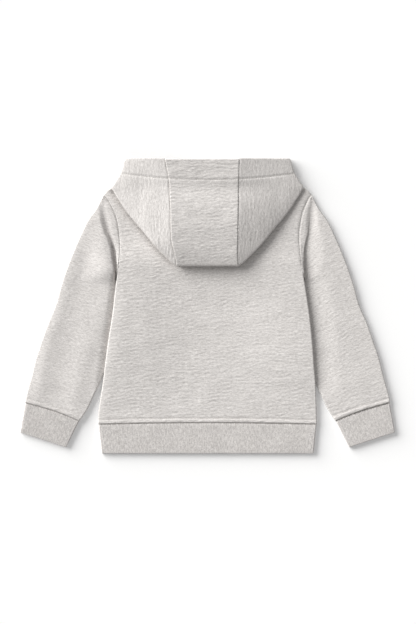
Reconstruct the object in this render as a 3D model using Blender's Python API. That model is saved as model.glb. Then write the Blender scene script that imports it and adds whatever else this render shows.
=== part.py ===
"""A toddler hoodie laid flat with its back up and its hood folded down on the back.

The tables are in millimetres and the meshes in metres. +X runs across the garment, +Y from the hem to the
hood, and +Z up from the surface that it lies on. The origin is in the middle of the resting side.
Every piece is a wall of cloth between an outer and an inner grid of points. Pieces keep a gap at their seams.
"""

import math

import bmesh
import bpy
from mathutils import Vector

MM = 0.001
WELD = 0.00002

# Cloth and layers.
CLOTH = 2.0
TURNED_HEM = 3.6
RIB_WALL = 3.0
GAP = 0.3
BODY_HIGH = 7.8
SLEEVE_HIGH = 8.2
CUFF_HIGH = 7.4
ROLL = 4.7

# The body. The side seams bulge unevenly: half widths on the left and on the right.
HEM_SEAM_SIDE = -183.2
HEM_SEAM_ARCH = 4.6
HEM_EDGE = -228.4
HEM_BAND_HALF_TOP = 168.8
HEM_BAND_HALF_EDGE = 164.3
UNDERARM = 51.2
SHOULDER_TIP_X = 161.2
SHOULDER_TIP_Y = 172.8
NECK_HALF = 72.0
NECK_POINT = 209.0
BACK_NECK_DROP = 12.0
FRONT_NECK_DROP = 59.0
FRONT_NECK_POWER = 2.2

# y, half width on the left, half width on the right
SIDE_SEAM = (
    (-183.2, 169.6, 169.6),
    (-164.0, 169.0, 169.1),
    (-118.0, 162.0, 167.4),
    (-99.0, 159.7, 165.7),
    (-54.0, 153.5, 162.3),
    (-14.0, 147.3, 158.1),
    (20.0, 144.0, 153.1),
    (40.0, 141.3, 149.9),
    (51.2, 140.0, 148.4),
)

# y, half width on the left, half width on the right
ARMHOLE = (
    (51.2, 140.0, 148.4),
    (62.0, 139.0, 145.7),
    (74.4, 137.6, 143.9),
    (86.8, 136.3, 142.3),
    (99.2, 136.2, 141.2),
    (111.6, 137.0, 141.2),
    (124.0, 138.7, 142.6),
    (136.4, 141.4, 145.0),
    (148.8, 145.8, 148.8),
    (165.7, 155.0, 156.4),
    (172.8, 161.2, 161.2),
)

# x, y
SHOULDER = (
    (72.0, 209.0),
    (120.0, 196.0),
    (148.8, 183.7),
    (155.5, 179.0),
    (161.2, 172.8),
)

# The sleeve lies partly under the body's side, which it lifts.
TUCK_LIFT = 5.0
TUCKED_HIGH = 4.6
TUCK_REACH = (20.0, 96.0)
TUCK_TOP = (62.0, 112.0)
TUCK_BOTTOM = (-160.0, -116.0)
TUCK_CLEAR = 3.0
TUCK_PRESS_LEFT = 28.0
TUCK_PRESS_RIGHT = 46.0
CREASE_CLEAR = 1.0
CREASE_FLAT = 5.0
CREASE_RISE = 9.0
CREST = 3.8
CREST_END = 62.0
STRIP_CROWN = 2.8
STRIP_CROWN_POWER = 4
STRIP_FULL = 6.0

# The deep crease beside the armhole: y, x on the left, x on the right
CREASE = (
    (40.0, 142.6, 151.2),
    (50.0, 141.8, 150.3),
    (62.0, 141.4, 149.4),
    (74.4, 142.6, 149.4),
    (86.8, 144.0, 150.0),
    (99.2, 147.0, 151.4),
    (111.6, 149.8, 153.0),
    (124.0, 153.7, 154.6),
    (136.4, 157.8, 157.4),
    (148.8, 161.2, 159.8),
    (165.7, 164.6, 164.6),
)

# share of the crease from the underarm to the shoulder, height of the cloth in it
CREASE_LEVEL = (
    (0.0, 4.5),
    (0.5, 4.5),
    (0.7, 4.8),
    (0.87, 5.8),
    (1.0, 7.8),
)

# The strip of sleeve between the crease and the armhole: distance from the crease, share of its rise
STRIP_RISE = (
    (0.0, 0.0),
    (1.0, 0.38),
    (1.8, 0.76),
    (3.0, 0.97),
    (6.0, 1.0),
)

# y, x
SLEEVE_OUTER = (
    (-149.9, 283.0),
    (-136.4, 280.6),
    (-108.5, 272.8),
    (-80.6, 265.8),
    (-52.7, 256.5),
    (-24.8, 246.5),
    (3.1, 234.8),
    (31.0, 227.1),
    (58.9, 217.8),
    (86.8, 206.9),
    (114.7, 194.5),
    (133.3, 185.2),
    (151.9, 171.8),
    (165.7, 164.6),
)

# y, x on the left, x on the right
SLEEVE_INNER = (
    (-178.3, 198.2, 198.2),
    (-161.2, 186.8, 186.8),
    (-136.4, 175.0, 175.0),
    (-112.7, 163.8, 163.8),
    (-80.0, 149.5, 153.5),
    (-50.0, 138.5, 146.0),
    (-20.0, 130.5, 141.0),
    (5.0, 129.5, 141.0),
    (25.0, 135.5, 146.0),
    (40.0, 142.6, 151.2),
)

# Lengthwise folds of the sleeves: side, the share across where the fold lies at the shoulder, halfway and at
# the cuff, half width, height
SLEEVE_FOLDS = (
    (-1, 0.20, 0.38, 0.16, 0.14, 1.3),
    (-1, 0.84, 0.71, 0.48, 0.13, -1.6),
    (-1, 1.00, 0.95, 0.80, 0.10, 0.9),
    (1, 1.00, 0.80, 0.60, 0.22, 1.6),
)
FOLD_START = 0.12
FOLD_FADE = 0.5

CUFF_BOW = 2.3
CUFF_EDGE_INNER = (219.0, -219.0)
CUFF_EDGE_OUTER = (290.5, -195.8)
CUFF_INSET = 0.008
RIB_PITCH = 3.0
RIB_RELIEF = 0.45
RIB_FOLD = 1.0
RIB_FOLD_THINNER = 1.5
RIB_UNDER_STEPS = 14

# The hood. y and x of its outline, then the middle and top of its rolled edge and how far in it is rounded
HOOD_EDGE = (
    (61.5, 47.6, 15.0, 22.5, 8.0),
    (66.8, 55.3, 14.8, 22.0, 8.0),
    (92.2, 80.9, 13.6, 19.5, 7.0),
    (117.8, 102.1, 12.4, 17.5, 6.0),
    (143.2, 123.4, 11.3, 15.6, 5.5),
    (165.0, 138.0, 10.6, 14.5, 5.0),
    (178.0, 145.9, 10.2, 13.9, 4.7),
    (183.7, 148.8, 9.7, 13.4, 4.7),
    (192.0, 143.6, 7.2, 12.0, 4.7),
    (206.0, 135.6, 5.2, 10.4, 4.7),
    (218.0, 131.5, 4.8, 9.6, 4.7),
    (225.0, 129.5, 4.6, 9.3, 4.7),
    (228.4, 127.0, 4.6, 9.2, 4.7),
)

# y, x of the left seam, x of the right seam, height of the centre panel
HOOD_CENTRE = (
    (61.5, -47.5, 47.5, 22.5),
    (72.0, -49.0, 46.2, 27.2),
    (84.0, -51.6, 46.0, 31.2),
    (100.0, -55.3, 46.4, 34.4),
    (120.0, -56.3, 46.7, 36.2),
    (140.0, -56.9, 47.1, 36.0),
    (160.0, -57.6, 47.4, 34.0),
    (178.0, -58.3, 47.6, 31.0),
    (186.0, -58.6, 47.7, 30.2),
    (195.0, -59.4, 47.9, 30.9),
    (206.0, -61.2, 48.2, 31.2),
    (228.4, -66.0, 48.8, 32.2),
)

HOOD_HEM_LINE = 195.4
HOOD_HEM_RISE = 10.0
HOOD_HEM_SPAN = 136.0
HOOD_MOUTH_DIP = 1.5
HOOD_REST = 0.4
HOOD_SHOULDER_CLEAR = 5.5
HEM_TURN = 3.0
OUTLINE_STEPS = 80

# The mouth edge on the hood's hidden front: x, y. Its points lie further in than those of the neckline.
MOUTH_FRONT = (
    (0.0, 172.0),
    (21.0, 184.0),
    (44.0, 202.0),
    (62.0, 214.0),
    (80.0, 221.5),
    (98.0, 226.5),
    (112.0, 228.2),
)
MOUTH_LEAN = 0.87
FRONT_SEAM_GAP = 0.48
FRONT_CENTRE_GAP = 0.4
FRONT_LAST_COLUMN = 140.0

# How the grids are divided.
EDGE_STEPS = (0.0, 0.6, 2.2, 4.7)
BODY_STEPS = EDGE_STEPS + (13.0, 24.0, 38.0, 54.0)
BODY_MIDDLE = (0.0, 0.125, 0.25, 0.375, 0.5, 0.625, 0.75, 0.875, 1.0)
BODY_ROWS = (-183.2, -160.0, -138.0, -116.0, -88.0, -54.0, -20.0, 14.0, 34.0, 45.0)
ACROSS = (0.0, 0.006, 0.021, 0.045, 0.11, 0.22, 0.36, 0.52, 0.68, 0.82, 0.92, 0.955, 0.979, 0.994, 1.0)
SLEEVE_ROWS = (0.0, 0.008, 0.02, 0.036, 0.06, 0.1, 0.16, 0.24, 0.35, 0.48, 0.62, 0.76, 0.88, 0.96, 1.0)
HOOD_ROWS = (
    61.5, 62.4, 64.5, 68.5, 75.0, 86.0, 100.0, 118.0, 138.0, 160.0, 180.0, 194.0, 199.0, 212.0, 228.4,
)
HOOD_SIDE_STEPS = (0.0, 0.25, 0.5, 0.7, 0.84, 0.93, 0.98, 1.0)
HOOD_CENTRE_STEPS = (0.0, 0.2, 0.4, 0.6, 0.8, 1.0)
HOOD_LOWER_ROWS = (61.5, 62.4, 64.5, 69.0, 80.0, 98.0, 118.0, 140.0, 160.0, 170.0, 178.0)
HOOD_LOWER_STEPS = (0.0, 0.7, 2.4, 7.0, 20.0)
HOOD_LOWER_MIDDLE = (0.2, 0.4, 0.6, 0.8)
HOOD_FRONT_STEPS = (0.0, 0.25, 0.5, 0.75, 1.0)

# Half a run over which a slope is measured, and the distance at which two plan points count as one.
SLOPE_RUN = 0.5
SAME = 0.01
INNER_TURN = 1.1
SHARP_ANGLE = 50.0
ROUGHNESS = 0.95
FLEECE_COLOUR = (0.68, 0.65, 0.63, 1.0)
RIB_COLOUR = (0.61, 0.58, 0.56, 1.0)
HIDDEN_COLOUR = (0.62, 0.60, 0.58, 1.0)


def soft_step(low, high, value):
    """From 0 at low to 1 at high, with level ends."""
    share = min(max((value - low) / (high - low), 0.0), 1.0)
    return share * share * (3.0 - 2.0 * share)


def blend(start, end, share):
    return start + (end - start) * share


def between(start, end, share):
    """A plan point between two plan points."""
    return (blend(start[0], end[0], share), blend(start[1], end[1], share))


def read(table, key, column):
    """A smooth curve through one column of a table, read at a value of its first column."""
    last = len(table) - 1
    key = min(max(key, table[0][0]), table[last][0])
    row = max(index for index in range(last) if table[index][0] <= key)

    def slope(index):
        before = table[max(index - 1, 0)]
        after = table[min(index + 1, last)]
        return (after[column] - before[column]) / (after[0] - before[0])

    width = table[row + 1][0] - table[row][0]
    share = (key - table[row][0]) / width
    rise = soft_step(0.0, 1.0, share)
    start_pull = share * (1.0 - share) ** 2 * width * slope(row)
    end_pull = share * share * (share - 1.0) * width * slope(row + 1)
    return blend(table[row][column], table[row + 1][column], rise) + start_pull + end_pull


def bulge(distance, reach):
    """The height share of a rounded edge at a distance in from it."""
    left = 1.0 - min(max(distance / reach, 0.0), 1.0)
    return math.sqrt(1.0 - left * left)


def wall(name, colour, outer, inner):
    """One piece of cloth: an outer grid of points, extruded to the inner grid and welded where they meet."""
    rows = len(outer)
    columns = len(outer[0])
    shape = bmesh.new()
    place = shape.verts.layers.int.new("place")
    grid = bmesh.ops.create_grid(shape, x_segments=columns - 1, y_segments=rows - 1, size=1.0)
    corners = sorted(grid["verts"], key=lambda vert: (round(vert.co.y, 5), round(vert.co.x, 5)))
    for index, vert in enumerate(corners):
        vert[place] = index
        vert.co = Vector(outer[index // columns][index % columns]) * MM
    bmesh.ops.remove_doubles(shape, verts=shape.verts, dist=WELD)
    made = bmesh.ops.extrude_face_region(shape, geom=shape.faces[:], use_keep_orig=True)
    for vert in made["geom"]:
        if isinstance(vert, bmesh.types.BMVert):
            index = vert[place]
            vert.co = Vector(inner[index // columns][index % columns]) * MM
    bmesh.ops.remove_doubles(shape, verts=shape.verts, dist=WELD)
    bmesh.ops.recalc_face_normals(shape, faces=shape.faces)
    mesh = bpy.data.meshes.new(name)
    shape.to_mesh(mesh)
    shape.free()
    mesh.shade_smooth()
    mesh.set_sharp_from_angle(angle=math.radians(SHARP_ANGLE))
    piece = bpy.data.objects.new(name, mesh)
    piece.data.materials.append(material(name, colour))
    bpy.data.collections["toddler_hoodie"].objects.link(piece)
    return piece


def material(name, colour):
    cloth = bpy.data.materials.new(name)
    cloth.use_nodes = True
    shader = cloth.node_tree.nodes["Principled BSDF"]
    shader.inputs["Base Color"].default_value = colour
    shader.inputs["Roughness"].default_value = ROUGHNESS
    shader.inputs["Metallic"].default_value = 0.0
    return cloth


# The body's outline and heights.

def column(side):
    """The column of a table that holds the left (-1) or the right (1) side."""
    return 1 if side < 0 else 2


def body_half(y, side):
    """Half width of the body at a height on its edge: side seam below the underarm, armhole above."""
    table = SIDE_SEAM if y < UNDERARM else ARMHOLE
    return read(table, y, column(side))


def hem_seam(x):
    return HEM_SEAM_SIDE + HEM_SEAM_ARCH * (1.0 - min((x / HEM_BAND_HALF_TOP) ** 2, 1.0))


def shoulder_line(x):
    return read(SHOULDER, abs(x), 1)


def back_neck(x):
    return NECK_POINT - BACK_NECK_DROP * (1.0 - (abs(x) / NECK_HALF) ** 2)


def front_neck(x):
    return NECK_POINT - FRONT_NECK_DROP * (1.0 - (abs(x) / NECK_HALF) ** FRONT_NECK_POWER)


def lift(x, y):
    """How far the sleeve under it lifts the body."""
    side = -1 if x < 0 else 1
    inside = body_half(y, side) - abs(x)
    along = soft_step(*TUCK_BOTTOM, y) * (1.0 - soft_step(*TUCK_TOP, y))
    return TUCK_LIFT * along * (1.0 - soft_step(*TUCK_REACH, inside))


def edge_distance(x, y, edge_y):
    """Distance to the side seam or to the shoulder seam. edge_y is the row's height at its ends."""
    side = -1 if x < 0 else 1
    inside = body_half(edge_y, side) - abs(x)
    from_side = math.hypot(inside, max(edge_y - UNDERARM, 0.0))
    if abs(x) < NECK_HALF - SAME:
        return from_side
    slope = (shoulder_line(abs(x) + SLOPE_RUN) - shoulder_line(abs(x) - SLOPE_RUN)) / (2.0 * SLOPE_RUN)
    from_shoulder = (shoulder_line(x) - y) / math.hypot(1.0, slope)
    return min(from_side, max(from_shoulder, 0.0))


def body_columns(edge_y):
    """The plan x of every column of a body row: steps in from each side, and even ones below the neck."""
    columns = [step - body_half(edge_y, -1) for step in BODY_STEPS]
    columns += [blend(-NECK_HALF, NECK_HALF, share) for share in BODY_MIDDLE]
    columns += [body_half(edge_y, 1) - step for step in reversed(BODY_STEPS)]
    return columns


def body_rows():
    rows = list(BODY_ROWS)
    rows += [blend(UNDERARM, SHOULDER_TIP_Y, share) for share in ACROSS]
    return rows


def body_panel(name, neck, is_back, colour):
    """The back lies over the front, and both are rounded to the seams between them."""
    outer = []
    inner = []
    top_columns = body_columns(SHOULDER_TIP_Y)
    for edge_y in body_rows():
        share = (edge_y - HEM_SEAM_SIDE) / (SHOULDER_TIP_Y - HEM_SEAM_SIDE)
        outer_row = []
        inner_row = []
        for x, top_x in zip(body_columns(edge_y), top_columns):
            top_y = neck(top_x) if abs(top_x) < NECK_HALF - SAME else shoulder_line(top_x)
            y = blend(hem_seam(x) + GAP / 2, top_y, share)
            inside = edge_distance(x, y, edge_y)
            rise = lift(x, y)
            seam = BODY_HIGH / 2 + rise + (GAP / 2 if is_back else -GAP / 2)
            face = rise + (BODY_HIGH if is_back else 0.0)
            back = face + (-CLOTH if is_back else CLOTH)
            outer_row.append((x, y, blend(seam, face, bulge(inside, ROLL))))
            inner_row.append((x, y, blend(seam, back, bulge(inside - CLOTH, ROLL - CLOTH))))
        outer.append(outer_row)
        inner.append(inner_row)
    wall(name, colour, outer, inner)


# Tubes: sleeves and ribs.

def tube_rings(plan, low, high, thick, shares, low_shares=None, relief=None):
    """The outer and inner ring of a flattened tube. plan, low and high are functions of the share across."""
    width = math.dist(plan(0.0), plan(1.0))
    turn = thick * INNER_TURN
    outer = []
    inner = []
    below = shares if low_shares is None else low_shares
    ring = [(share, 1) for share in shares] + [(share, -1) for share in reversed(below[1:-1])]
    ring.append(ring[0])
    for share, face in ring:
        edge = min(share, 1.0 - share) * width
        middle = (low(share) + high(share)) / 2
        half = (high(share) - low(share)) / 2
        round_share = bulge(edge, ROLL)
        bump = relief(share) if relief and face > 0 else 0.0
        x, y = plan(share)
        outer.append((x, y, middle + face * (half + bump) * round_share))
        inset = blend(turn, ROLL, min(edge / ROLL, 1.0)) if edge < ROLL else edge
        inner_share = inset / width if share < 0.5 else 1.0 - inset / width
        x, y = plan(inner_share)
        inner.append((x, y, middle + face * (half - thick) * round_share))
    return outer, inner


def seam_point(share, side):
    """A point on the sleeve's end, which follows the armhole at a gap."""
    y = blend(UNDERARM, SHOULDER_TIP_Y, share)
    above = read(ARMHOLE, y + SLOPE_RUN, column(side))
    below = read(ARMHOLE, y - SLOPE_RUN, column(side))
    slope = (above - below) / (2.0 * SLOPE_RUN)
    length = math.hypot(1.0, slope)
    return (read(ARMHOLE, y, column(side)) + GAP / length, y - GAP * slope / length)


def crease_point(share, side):
    y = blend(CREASE[0][0], CREASE[-1][0], share)
    x = read(CREASE, y, column(side))
    if y < UNDERARM:
        x = max(x, body_half(y, side) + CREASE_CLEAR)
    return (x, y)


def cuff_seam(share):
    """The line where the cuff is sewn to the sleeve."""
    start = Vector((SLEEVE_INNER[0][1], SLEEVE_INNER[0][0]))
    end = Vector((SLEEVE_OUTER[0][1], SLEEVE_OUTER[0][0]))
    across = (end - start).normalized()
    up = Vector((-across.y, across.x))
    point = start.lerp(end, share) + up * (CUFF_BOW * 4.0 * share * (1.0 - share))
    return (point.x, point.y), (up.x, up.y)


def sleeve_plan(along, share, side):
    """A plan point of the sleeve: a patch between the crease, the cuff seam and the two long edges."""
    crease = crease_point(share, side)
    cuff, up = cuff_seam(share)
    cuff = (cuff[0] + up[0] * GAP / 2, cuff[1] + up[1] * GAP / 2)
    inner_y = blend(crease_point(0.0, side)[1], SLEEVE_INNER[0][0], along)
    outer_y = blend(crease_point(1.0, side)[1], SLEEVE_OUTER[0][0], along)
    inner = (read(SLEEVE_INNER, inner_y, column(side)), inner_y)
    outer = (read(SLEEVE_OUTER, outer_y, 1), outer_y)
    corners = (crease_point(0.0, side), crease_point(1.0, side), SLEEVE_INNER[0], SLEEVE_OUTER[0])
    plan = []
    for axis in range(2):
        low_corner = corners[2][1 - axis]
        high_corner = corners[3][1 - axis]
        ends = blend(crease[axis], cuff[axis], along)
        edges = blend(inner[axis], outer[axis], share)
        start = blend(corners[0][axis], corners[1][axis], share)
        finish = blend(low_corner, high_corner, share)
        plan.append(ends + edges - blend(start, finish, along))
    return tuple(plan)


def sleeve_fold(along, share, side):
    """The height that the sleeve's lengthwise folds add."""
    there = soft_step(0.0, FOLD_START, along) * (1.0 - FOLD_FADE * soft_step(1.0 - FOLD_START, 1.0, along))
    rise = 0.0
    for fold_side, shoulder, halfway, cuff_end, width, height in SLEEVE_FOLDS:
        if fold_side == side:
            pull = 2.0 * halfway - (shoulder + cuff_end) / 2.0
            place = blend(blend(shoulder, pull, along), blend(pull, cuff_end, along), along)
            rise += height * there * math.exp(-(((share - place) / width) ** 2))
    return rise


def sleeve_top(point, along, share, side):
    """The height of the sleeve's upper side: a crest beside the crease, pressed down under the body."""
    run = along * math.dist(crease_point(share, side), cuff_seam(share)[0])
    flat = CREASE_FLAT * 4.0 * share * (1.0 - share)
    top = flat + CREASE_RISE
    risen = soft_step(flat, top, run)
    level = SLEEVE_HIGH + sleeve_fold(along, share, side)
    crest = CREST * (1.0 - share) * risen * (1.0 - soft_step(top, CREST_END, run))
    outside = point[0] - body_half(point[1], side)
    along_body = soft_step(*TUCK_BOTTOM, point[1]) * (1.0 - soft_step(*TUCK_TOP, point[1]))
    press_end = TUCK_PRESS_LEFT if side < 0 else TUCK_PRESS_RIGHT
    pressed = along_body * (1.0 - soft_step(TUCK_CLEAR, press_end, outside))
    held = blend(level, TUCKED_HIGH, pressed) + crest * (1.0 - pressed)
    return min(blend(read(CREASE_LEVEL, share, 1), level, risen) + crest, held)


def strip_ring(side, distance):
    """A ring of the sleeve between the armhole and the crease, at a distance from the crease."""
    def out(share):
        """Share of the way from the crease to the armhole, and the distance in the full strip's measure."""
        length = math.dist(seam_point(share, side), crease_point(share, side))
        scale = min(length / STRIP_FULL, 1.0)
        return min(distance * scale / length, 1.0), distance

    def plan(share):
        return between(crease_point(share, side), seam_point(share, side), out(share)[0])

    def lifted(share):
        x, y = seam_point(share, side)
        return lift(side * x, y)

    def low(share):
        return lifted(share) * soft_step(0.0, 1.0, out(share)[0])

    def high(share):
        way, measure = out(share)
        crown = STRIP_CROWN * (1.0 - soft_step(0.0, 1.0, way)) * (1.0 - share ** STRIP_CROWN_POWER)
        top = BODY_HIGH + lifted(share) + crown
        return blend(read(CREASE_LEVEL, share, 1), top, read(STRIP_RISE, measure, 1))

    return tube_rings(plan, low, high, CLOTH, ACROSS)


def sleeve_ring(side, along):
    """A ring of the sleeve between the crease and the cuff."""
    def plan(share):
        return sleeve_plan(along, share, side)

    def low(share):
        return 0.0

    def high(share):
        return sleeve_top(plan(share), along, share, side)

    return tube_rings(plan, low, high, CLOTH, ACROSS)


def sleeve(name, side):
    rings = [strip_ring(side, math.inf)]
    rings += [strip_ring(side, row[0]) for row in reversed(STRIP_RISE[1:])]
    rings += [sleeve_ring(side, along) for along in SLEEVE_ROWS]
    outer = [ring[0] for ring in rings]
    inner = [ring[1] for ring in rings]
    wall(name, FLEECE_COLOUR, mirrored(outer, side), mirrored(inner, side))


def mirrored(rows, side):
    return [[(side * x, y, z) for x, y, z in row] for row in rows]


def rib_shares(count):
    """Even steps across, two for each rib."""
    return [index / (2.0 * count) for index in range(2 * count + 1)]


def rib_relief(count):
    """Ridges and grooves in turn."""
    return lambda share: RIB_RELIEF * (round(share * 2 * count) % 2 - 0.5)


def rib_tube(name, side, top_line, edge_line, count):
    """A doubled rib strip closed to a tube, with its folded edge rounded."""
    outer = []
    inner = []
    length = math.dist(top_line(0.5), edge_line(0.5))
    below = [index / RIB_UNDER_STEPS for index in range(RIB_UNDER_STEPS + 1)]
    for along, pull in ((0.0, 0.0), (1.0 - RIB_FOLD / length, 0.0), (1.0, RIB_FOLD)):
        def plan(share, along=along):
            return between(top_line(share), edge_line(share), along)

        def low(share, pull=pull):
            return pull

        def high(share, pull=pull):
            return CUFF_HIGH - RIB_RELIEF / 2 - pull

        thick = RIB_WALL - RIB_RELIEF / 2 - pull * RIB_FOLD_THINNER
        rings = tube_rings(plan, low, high, thick, rib_shares(count), below, rib_relief(count))
        outer.append(rings[0])
        inner.append(rings[1])
    wall(name, RIB_COLOUR, mirrored(outer, side), mirrored(inner, side))


def cuff(name, side):
    def top_line(share):
        point, up = cuff_seam(blend(CUFF_INSET, 1.0 - CUFF_INSET, share))
        return (point[0] - up[0] * GAP / 2, point[1] - up[1] * GAP / 2)

    def edge_line(share):
        return between(CUFF_EDGE_INNER, CUFF_EDGE_OUTER, share)

    count = round(math.dist(top_line(0.0), top_line(1.0)) / RIB_PITCH)
    rib_tube(name, side, top_line, edge_line, count)


def hem_band():
    def top_line(share):
        x = blend(-HEM_BAND_HALF_TOP, HEM_BAND_HALF_TOP, share)
        return (x, hem_seam(x) - GAP / 2)

    def edge_line(share):
        return (blend(-HEM_BAND_HALF_EDGE, HEM_BAND_HALF_EDGE, share), HEM_EDGE)

    count = round(2.0 * HEM_BAND_HALF_TOP / RIB_PITCH)
    rib_tube("hem_band", 1, top_line, edge_line, count)


# The hood: its upper layer stands over the lower one like a shallow pouch that opens upwards.

def hood_edge(y):
    return read(HOOD_EDGE, y, 1)


def hood_outline():
    """The rolled edge from the top corner on the left round the bottom to the one on the right."""
    shares = [index / OUTLINE_STEPS for index in range(OUTLINE_STEPS + 1)]
    heights = [blend(HOOD_EDGE[0][0], HOOD_EDGE[-1][0], share) for share in shares]
    right = [(hood_edge(y), y) for y in heights]
    left = [(-x, y) for x, y in reversed(right)]
    return left + right


def outline_distance(point, outline):
    """Distance from a plan point to the outline."""
    nearest = math.inf
    for start, end in zip(outline, outline[1:]):
        run = (end[0] - start[0], end[1] - start[1])
        size = run[0] ** 2 + run[1] ** 2
        reach = (point[0] - start[0]) * run[0] + (point[1] - start[1]) * run[1]
        share = min(max(reach / size, 0.0), 1.0)
        nearest = min(nearest, math.dist(point, between(start, end, share)))
    return nearest


def hood_height(x, y):
    """The height of the hood's upper side before its edge is rounded."""
    crown = read(HOOD_CENTRE, y, 3)
    seam = read(HOOD_CENTRE, y, column(x))
    if abs(x) <= abs(seam):
        return crown
    share = (abs(x) - abs(seam)) / max(hood_edge(y) - abs(seam), SAME)
    return blend(crown, read(HOOD_EDGE, y, 3), min(share, 1.0))


def hood_point(x, y, inside):
    """The outer and inner point of the hood's upper layer."""
    middle = read(HOOD_EDGE, y, 2) + GAP / 2
    reach = read(HOOD_EDGE, y, 4)
    hem_line = HOOD_HEM_LINE + HOOD_HEM_RISE * (x / HOOD_HEM_SPAN) ** 2
    thick = blend(CLOTH, TURNED_HEM, soft_step(0.0, HEM_TURN, y - hem_line))
    top = hood_height(x, y)
    outer = blend(middle, top, bulge(inside, reach))
    inner = blend(middle, top - thick, bulge(inside - CLOTH, reach - CLOTH))
    return (x, y, outer), (x, y, inner)


def mouth_dip(y):
    """The mouth edge lies a little lower across the centre panel."""
    return HOOD_MOUTH_DIP * max(y - HOOD_HEM_LINE, 0.0) / (HOOD_EDGE[-1][0] - HOOD_HEM_LINE)


def hood_centre(outline):
    outer = []
    inner = []
    for level in HOOD_ROWS:
        y = level - mouth_dip(level)
        left = read(HOOD_CENTRE, y, 1) + GAP / 2
        right = read(HOOD_CENTRE, y, 2) - GAP / 2
        outer_row = []
        inner_row = []
        for step in HOOD_CENTRE_STEPS:
            x = blend(left, right, step)
            inside = 0.0 if y == HOOD_ROWS[0] else outline_distance((x, y), outline)
            face, back = hood_point(x, y, inside)
            outer_row.append(face)
            inner_row.append(back)
        outer.append(outer_row)
        inner.append(inner_row)
    wall("hood_centre", FLEECE_COLOUR, outer, inner)


def hood_side(name, side, outline):
    outer = []
    inner = []
    for y in HOOD_ROWS:
        seam = abs(read(HOOD_CENTRE, y, column(side))) + GAP / 2
        edge = max(hood_edge(y), seam)
        outer_row = []
        inner_row = []
        for step in HOOD_SIDE_STEPS:
            x = blend(seam, edge, step)
            inside = 0.0 if step == 1.0 or y == HOOD_ROWS[0] else outline_distance((x, y), outline)
            face, back = hood_point(side * x, y, inside)
            outer_row.append(face)
            inner_row.append(back)
        outer.append(outer_row)
        inner.append(inner_row)
    wall(name, FLEECE_COLOUR, outer, inner)


def hood_lower(outline):
    """The hidden layer that lies on the back, turned up round its edge to the fold."""
    outer = []
    inner = []
    top_half = hood_edge(HOOD_LOWER_ROWS[-1])
    steps = HOOD_LOWER_STEPS
    for edge_y in HOOD_LOWER_ROWS:
        share = (edge_y - HOOD_LOWER_ROWS[0]) / (HOOD_LOWER_ROWS[-1] - HOOD_LOWER_ROWS[0])
        half = hood_edge(edge_y)
        xs = [-half + step for step in steps]
        xs += [blend(-half + steps[-1], half - steps[-1], part) for part in HOOD_LOWER_MIDDLE]
        xs += [half - step for step in reversed(steps)]
        outer_row = []
        inner_row = []
        for x in xs:
            top_x = abs(x) * top_half / half
            neck_y = back_neck(top_x) if top_x < NECK_HALF else shoulder_line(top_x) - HOOD_SHOULDER_CLEAR
            if top_x < NECK_HALF:
                neck_y -= HOOD_SHOULDER_CLEAR * soft_step(0.0, NECK_HALF, top_x)
            y = blend(HOOD_LOWER_ROWS[0], max(neck_y, HOOD_LOWER_ROWS[-1]), share)
            on_edge = abs(x) > half - SAME or edge_y == HOOD_LOWER_ROWS[0]
            inside = 0.0 if on_edge else outline_distance((x, y), outline)
            rest = BODY_HIGH + lift(x, y) + HOOD_REST
            middle = read(HOOD_EDGE, edge_y, 2) - GAP / 2
            reach = read(HOOD_EDGE, edge_y, 4)
            outer_row.append((x, y, blend(middle, rest, bulge(inside, reach))))
            inner_row.append((x, y, blend(middle, rest + CLOTH, bulge(inside - CLOTH, reach - CLOTH))))
        outer.append(outer_row)
        inner.append(inner_row)
    wall("hood_lower", HIDDEN_COLOUR, outer, inner)


def front_line(x):
    """Where the hood's hidden front starts: along the front neck and in front of the shoulder."""
    line = front_neck(x) if x < NECK_HALF else shoulder_line(x)
    return line + FRONT_SEAM_GAP


def hood_front(name, side):
    """The hidden front of the hood, flat below it, from the front neck to the mouth's corner."""
    outer = []
    inner = []
    top = HOOD_EDGE[-1][0]
    columns = sorted(x for x in body_columns(SHOULDER_TIP_Y) if -SAME < x < FRONT_LAST_COLUMN)
    stations = [(max(x, FRONT_CENTRE_GAP), None) for x in columns]
    stations += [(0.0, step) for step in reversed(EDGE_STEPS)]
    for low_x, inset in stations:
        outer_row = []
        inner_row = []
        for step in HOOD_FRONT_STEPS:
            if inset is None:
                high_x = max(low_x * MOUTH_LEAN, FRONT_CENTRE_GAP)
                mouth = (high_x, read(MOUTH_FRONT, high_x, 1))
                x, y = between((low_x, front_line(low_x)), mouth, step)
                inside = ROLL
            else:
                y = blend(front_line(SHOULDER[2][0] - inset) + GAP, top, step)
                x = hood_edge(y) - inset
                inside = inset
            middle = read(HOOD_EDGE, y, 2) - GAP / 2
            outer_row.append((side * x, y, blend(middle, 0.0, bulge(inside, ROLL))))
            inner_row.append((side * x, y, blend(middle, CLOTH, bulge(inside - CLOTH, ROLL - CLOTH))))
        outer.append(outer_row)
        inner.append(inner_row)
    wall(name, HIDDEN_COLOUR, outer, inner)


def main():
    for item in list(bpy.data.objects):
        bpy.data.objects.remove(item, do_unlink=True)
    bpy.context.scene.collection.children.link(bpy.data.collections.new("toddler_hoodie"))
    body_panel("back_panel", back_neck, True, FLEECE_COLOUR)
    body_panel("front_panel", front_neck, False, HIDDEN_COLOUR)
    for name, side in (("left", -1), ("right", 1)):
        sleeve("sleeve_" + name, side)
        cuff("cuff_" + name, side)
    hem_band()
    outline = hood_outline()
    hood_centre(outline)
    hood_lower(outline)
    for name, side in (("left", -1), ("right", 1)):
        hood_side("hood_side_" + name, side, outline)
        hood_front("hood_front_" + name, side)


main()
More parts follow.
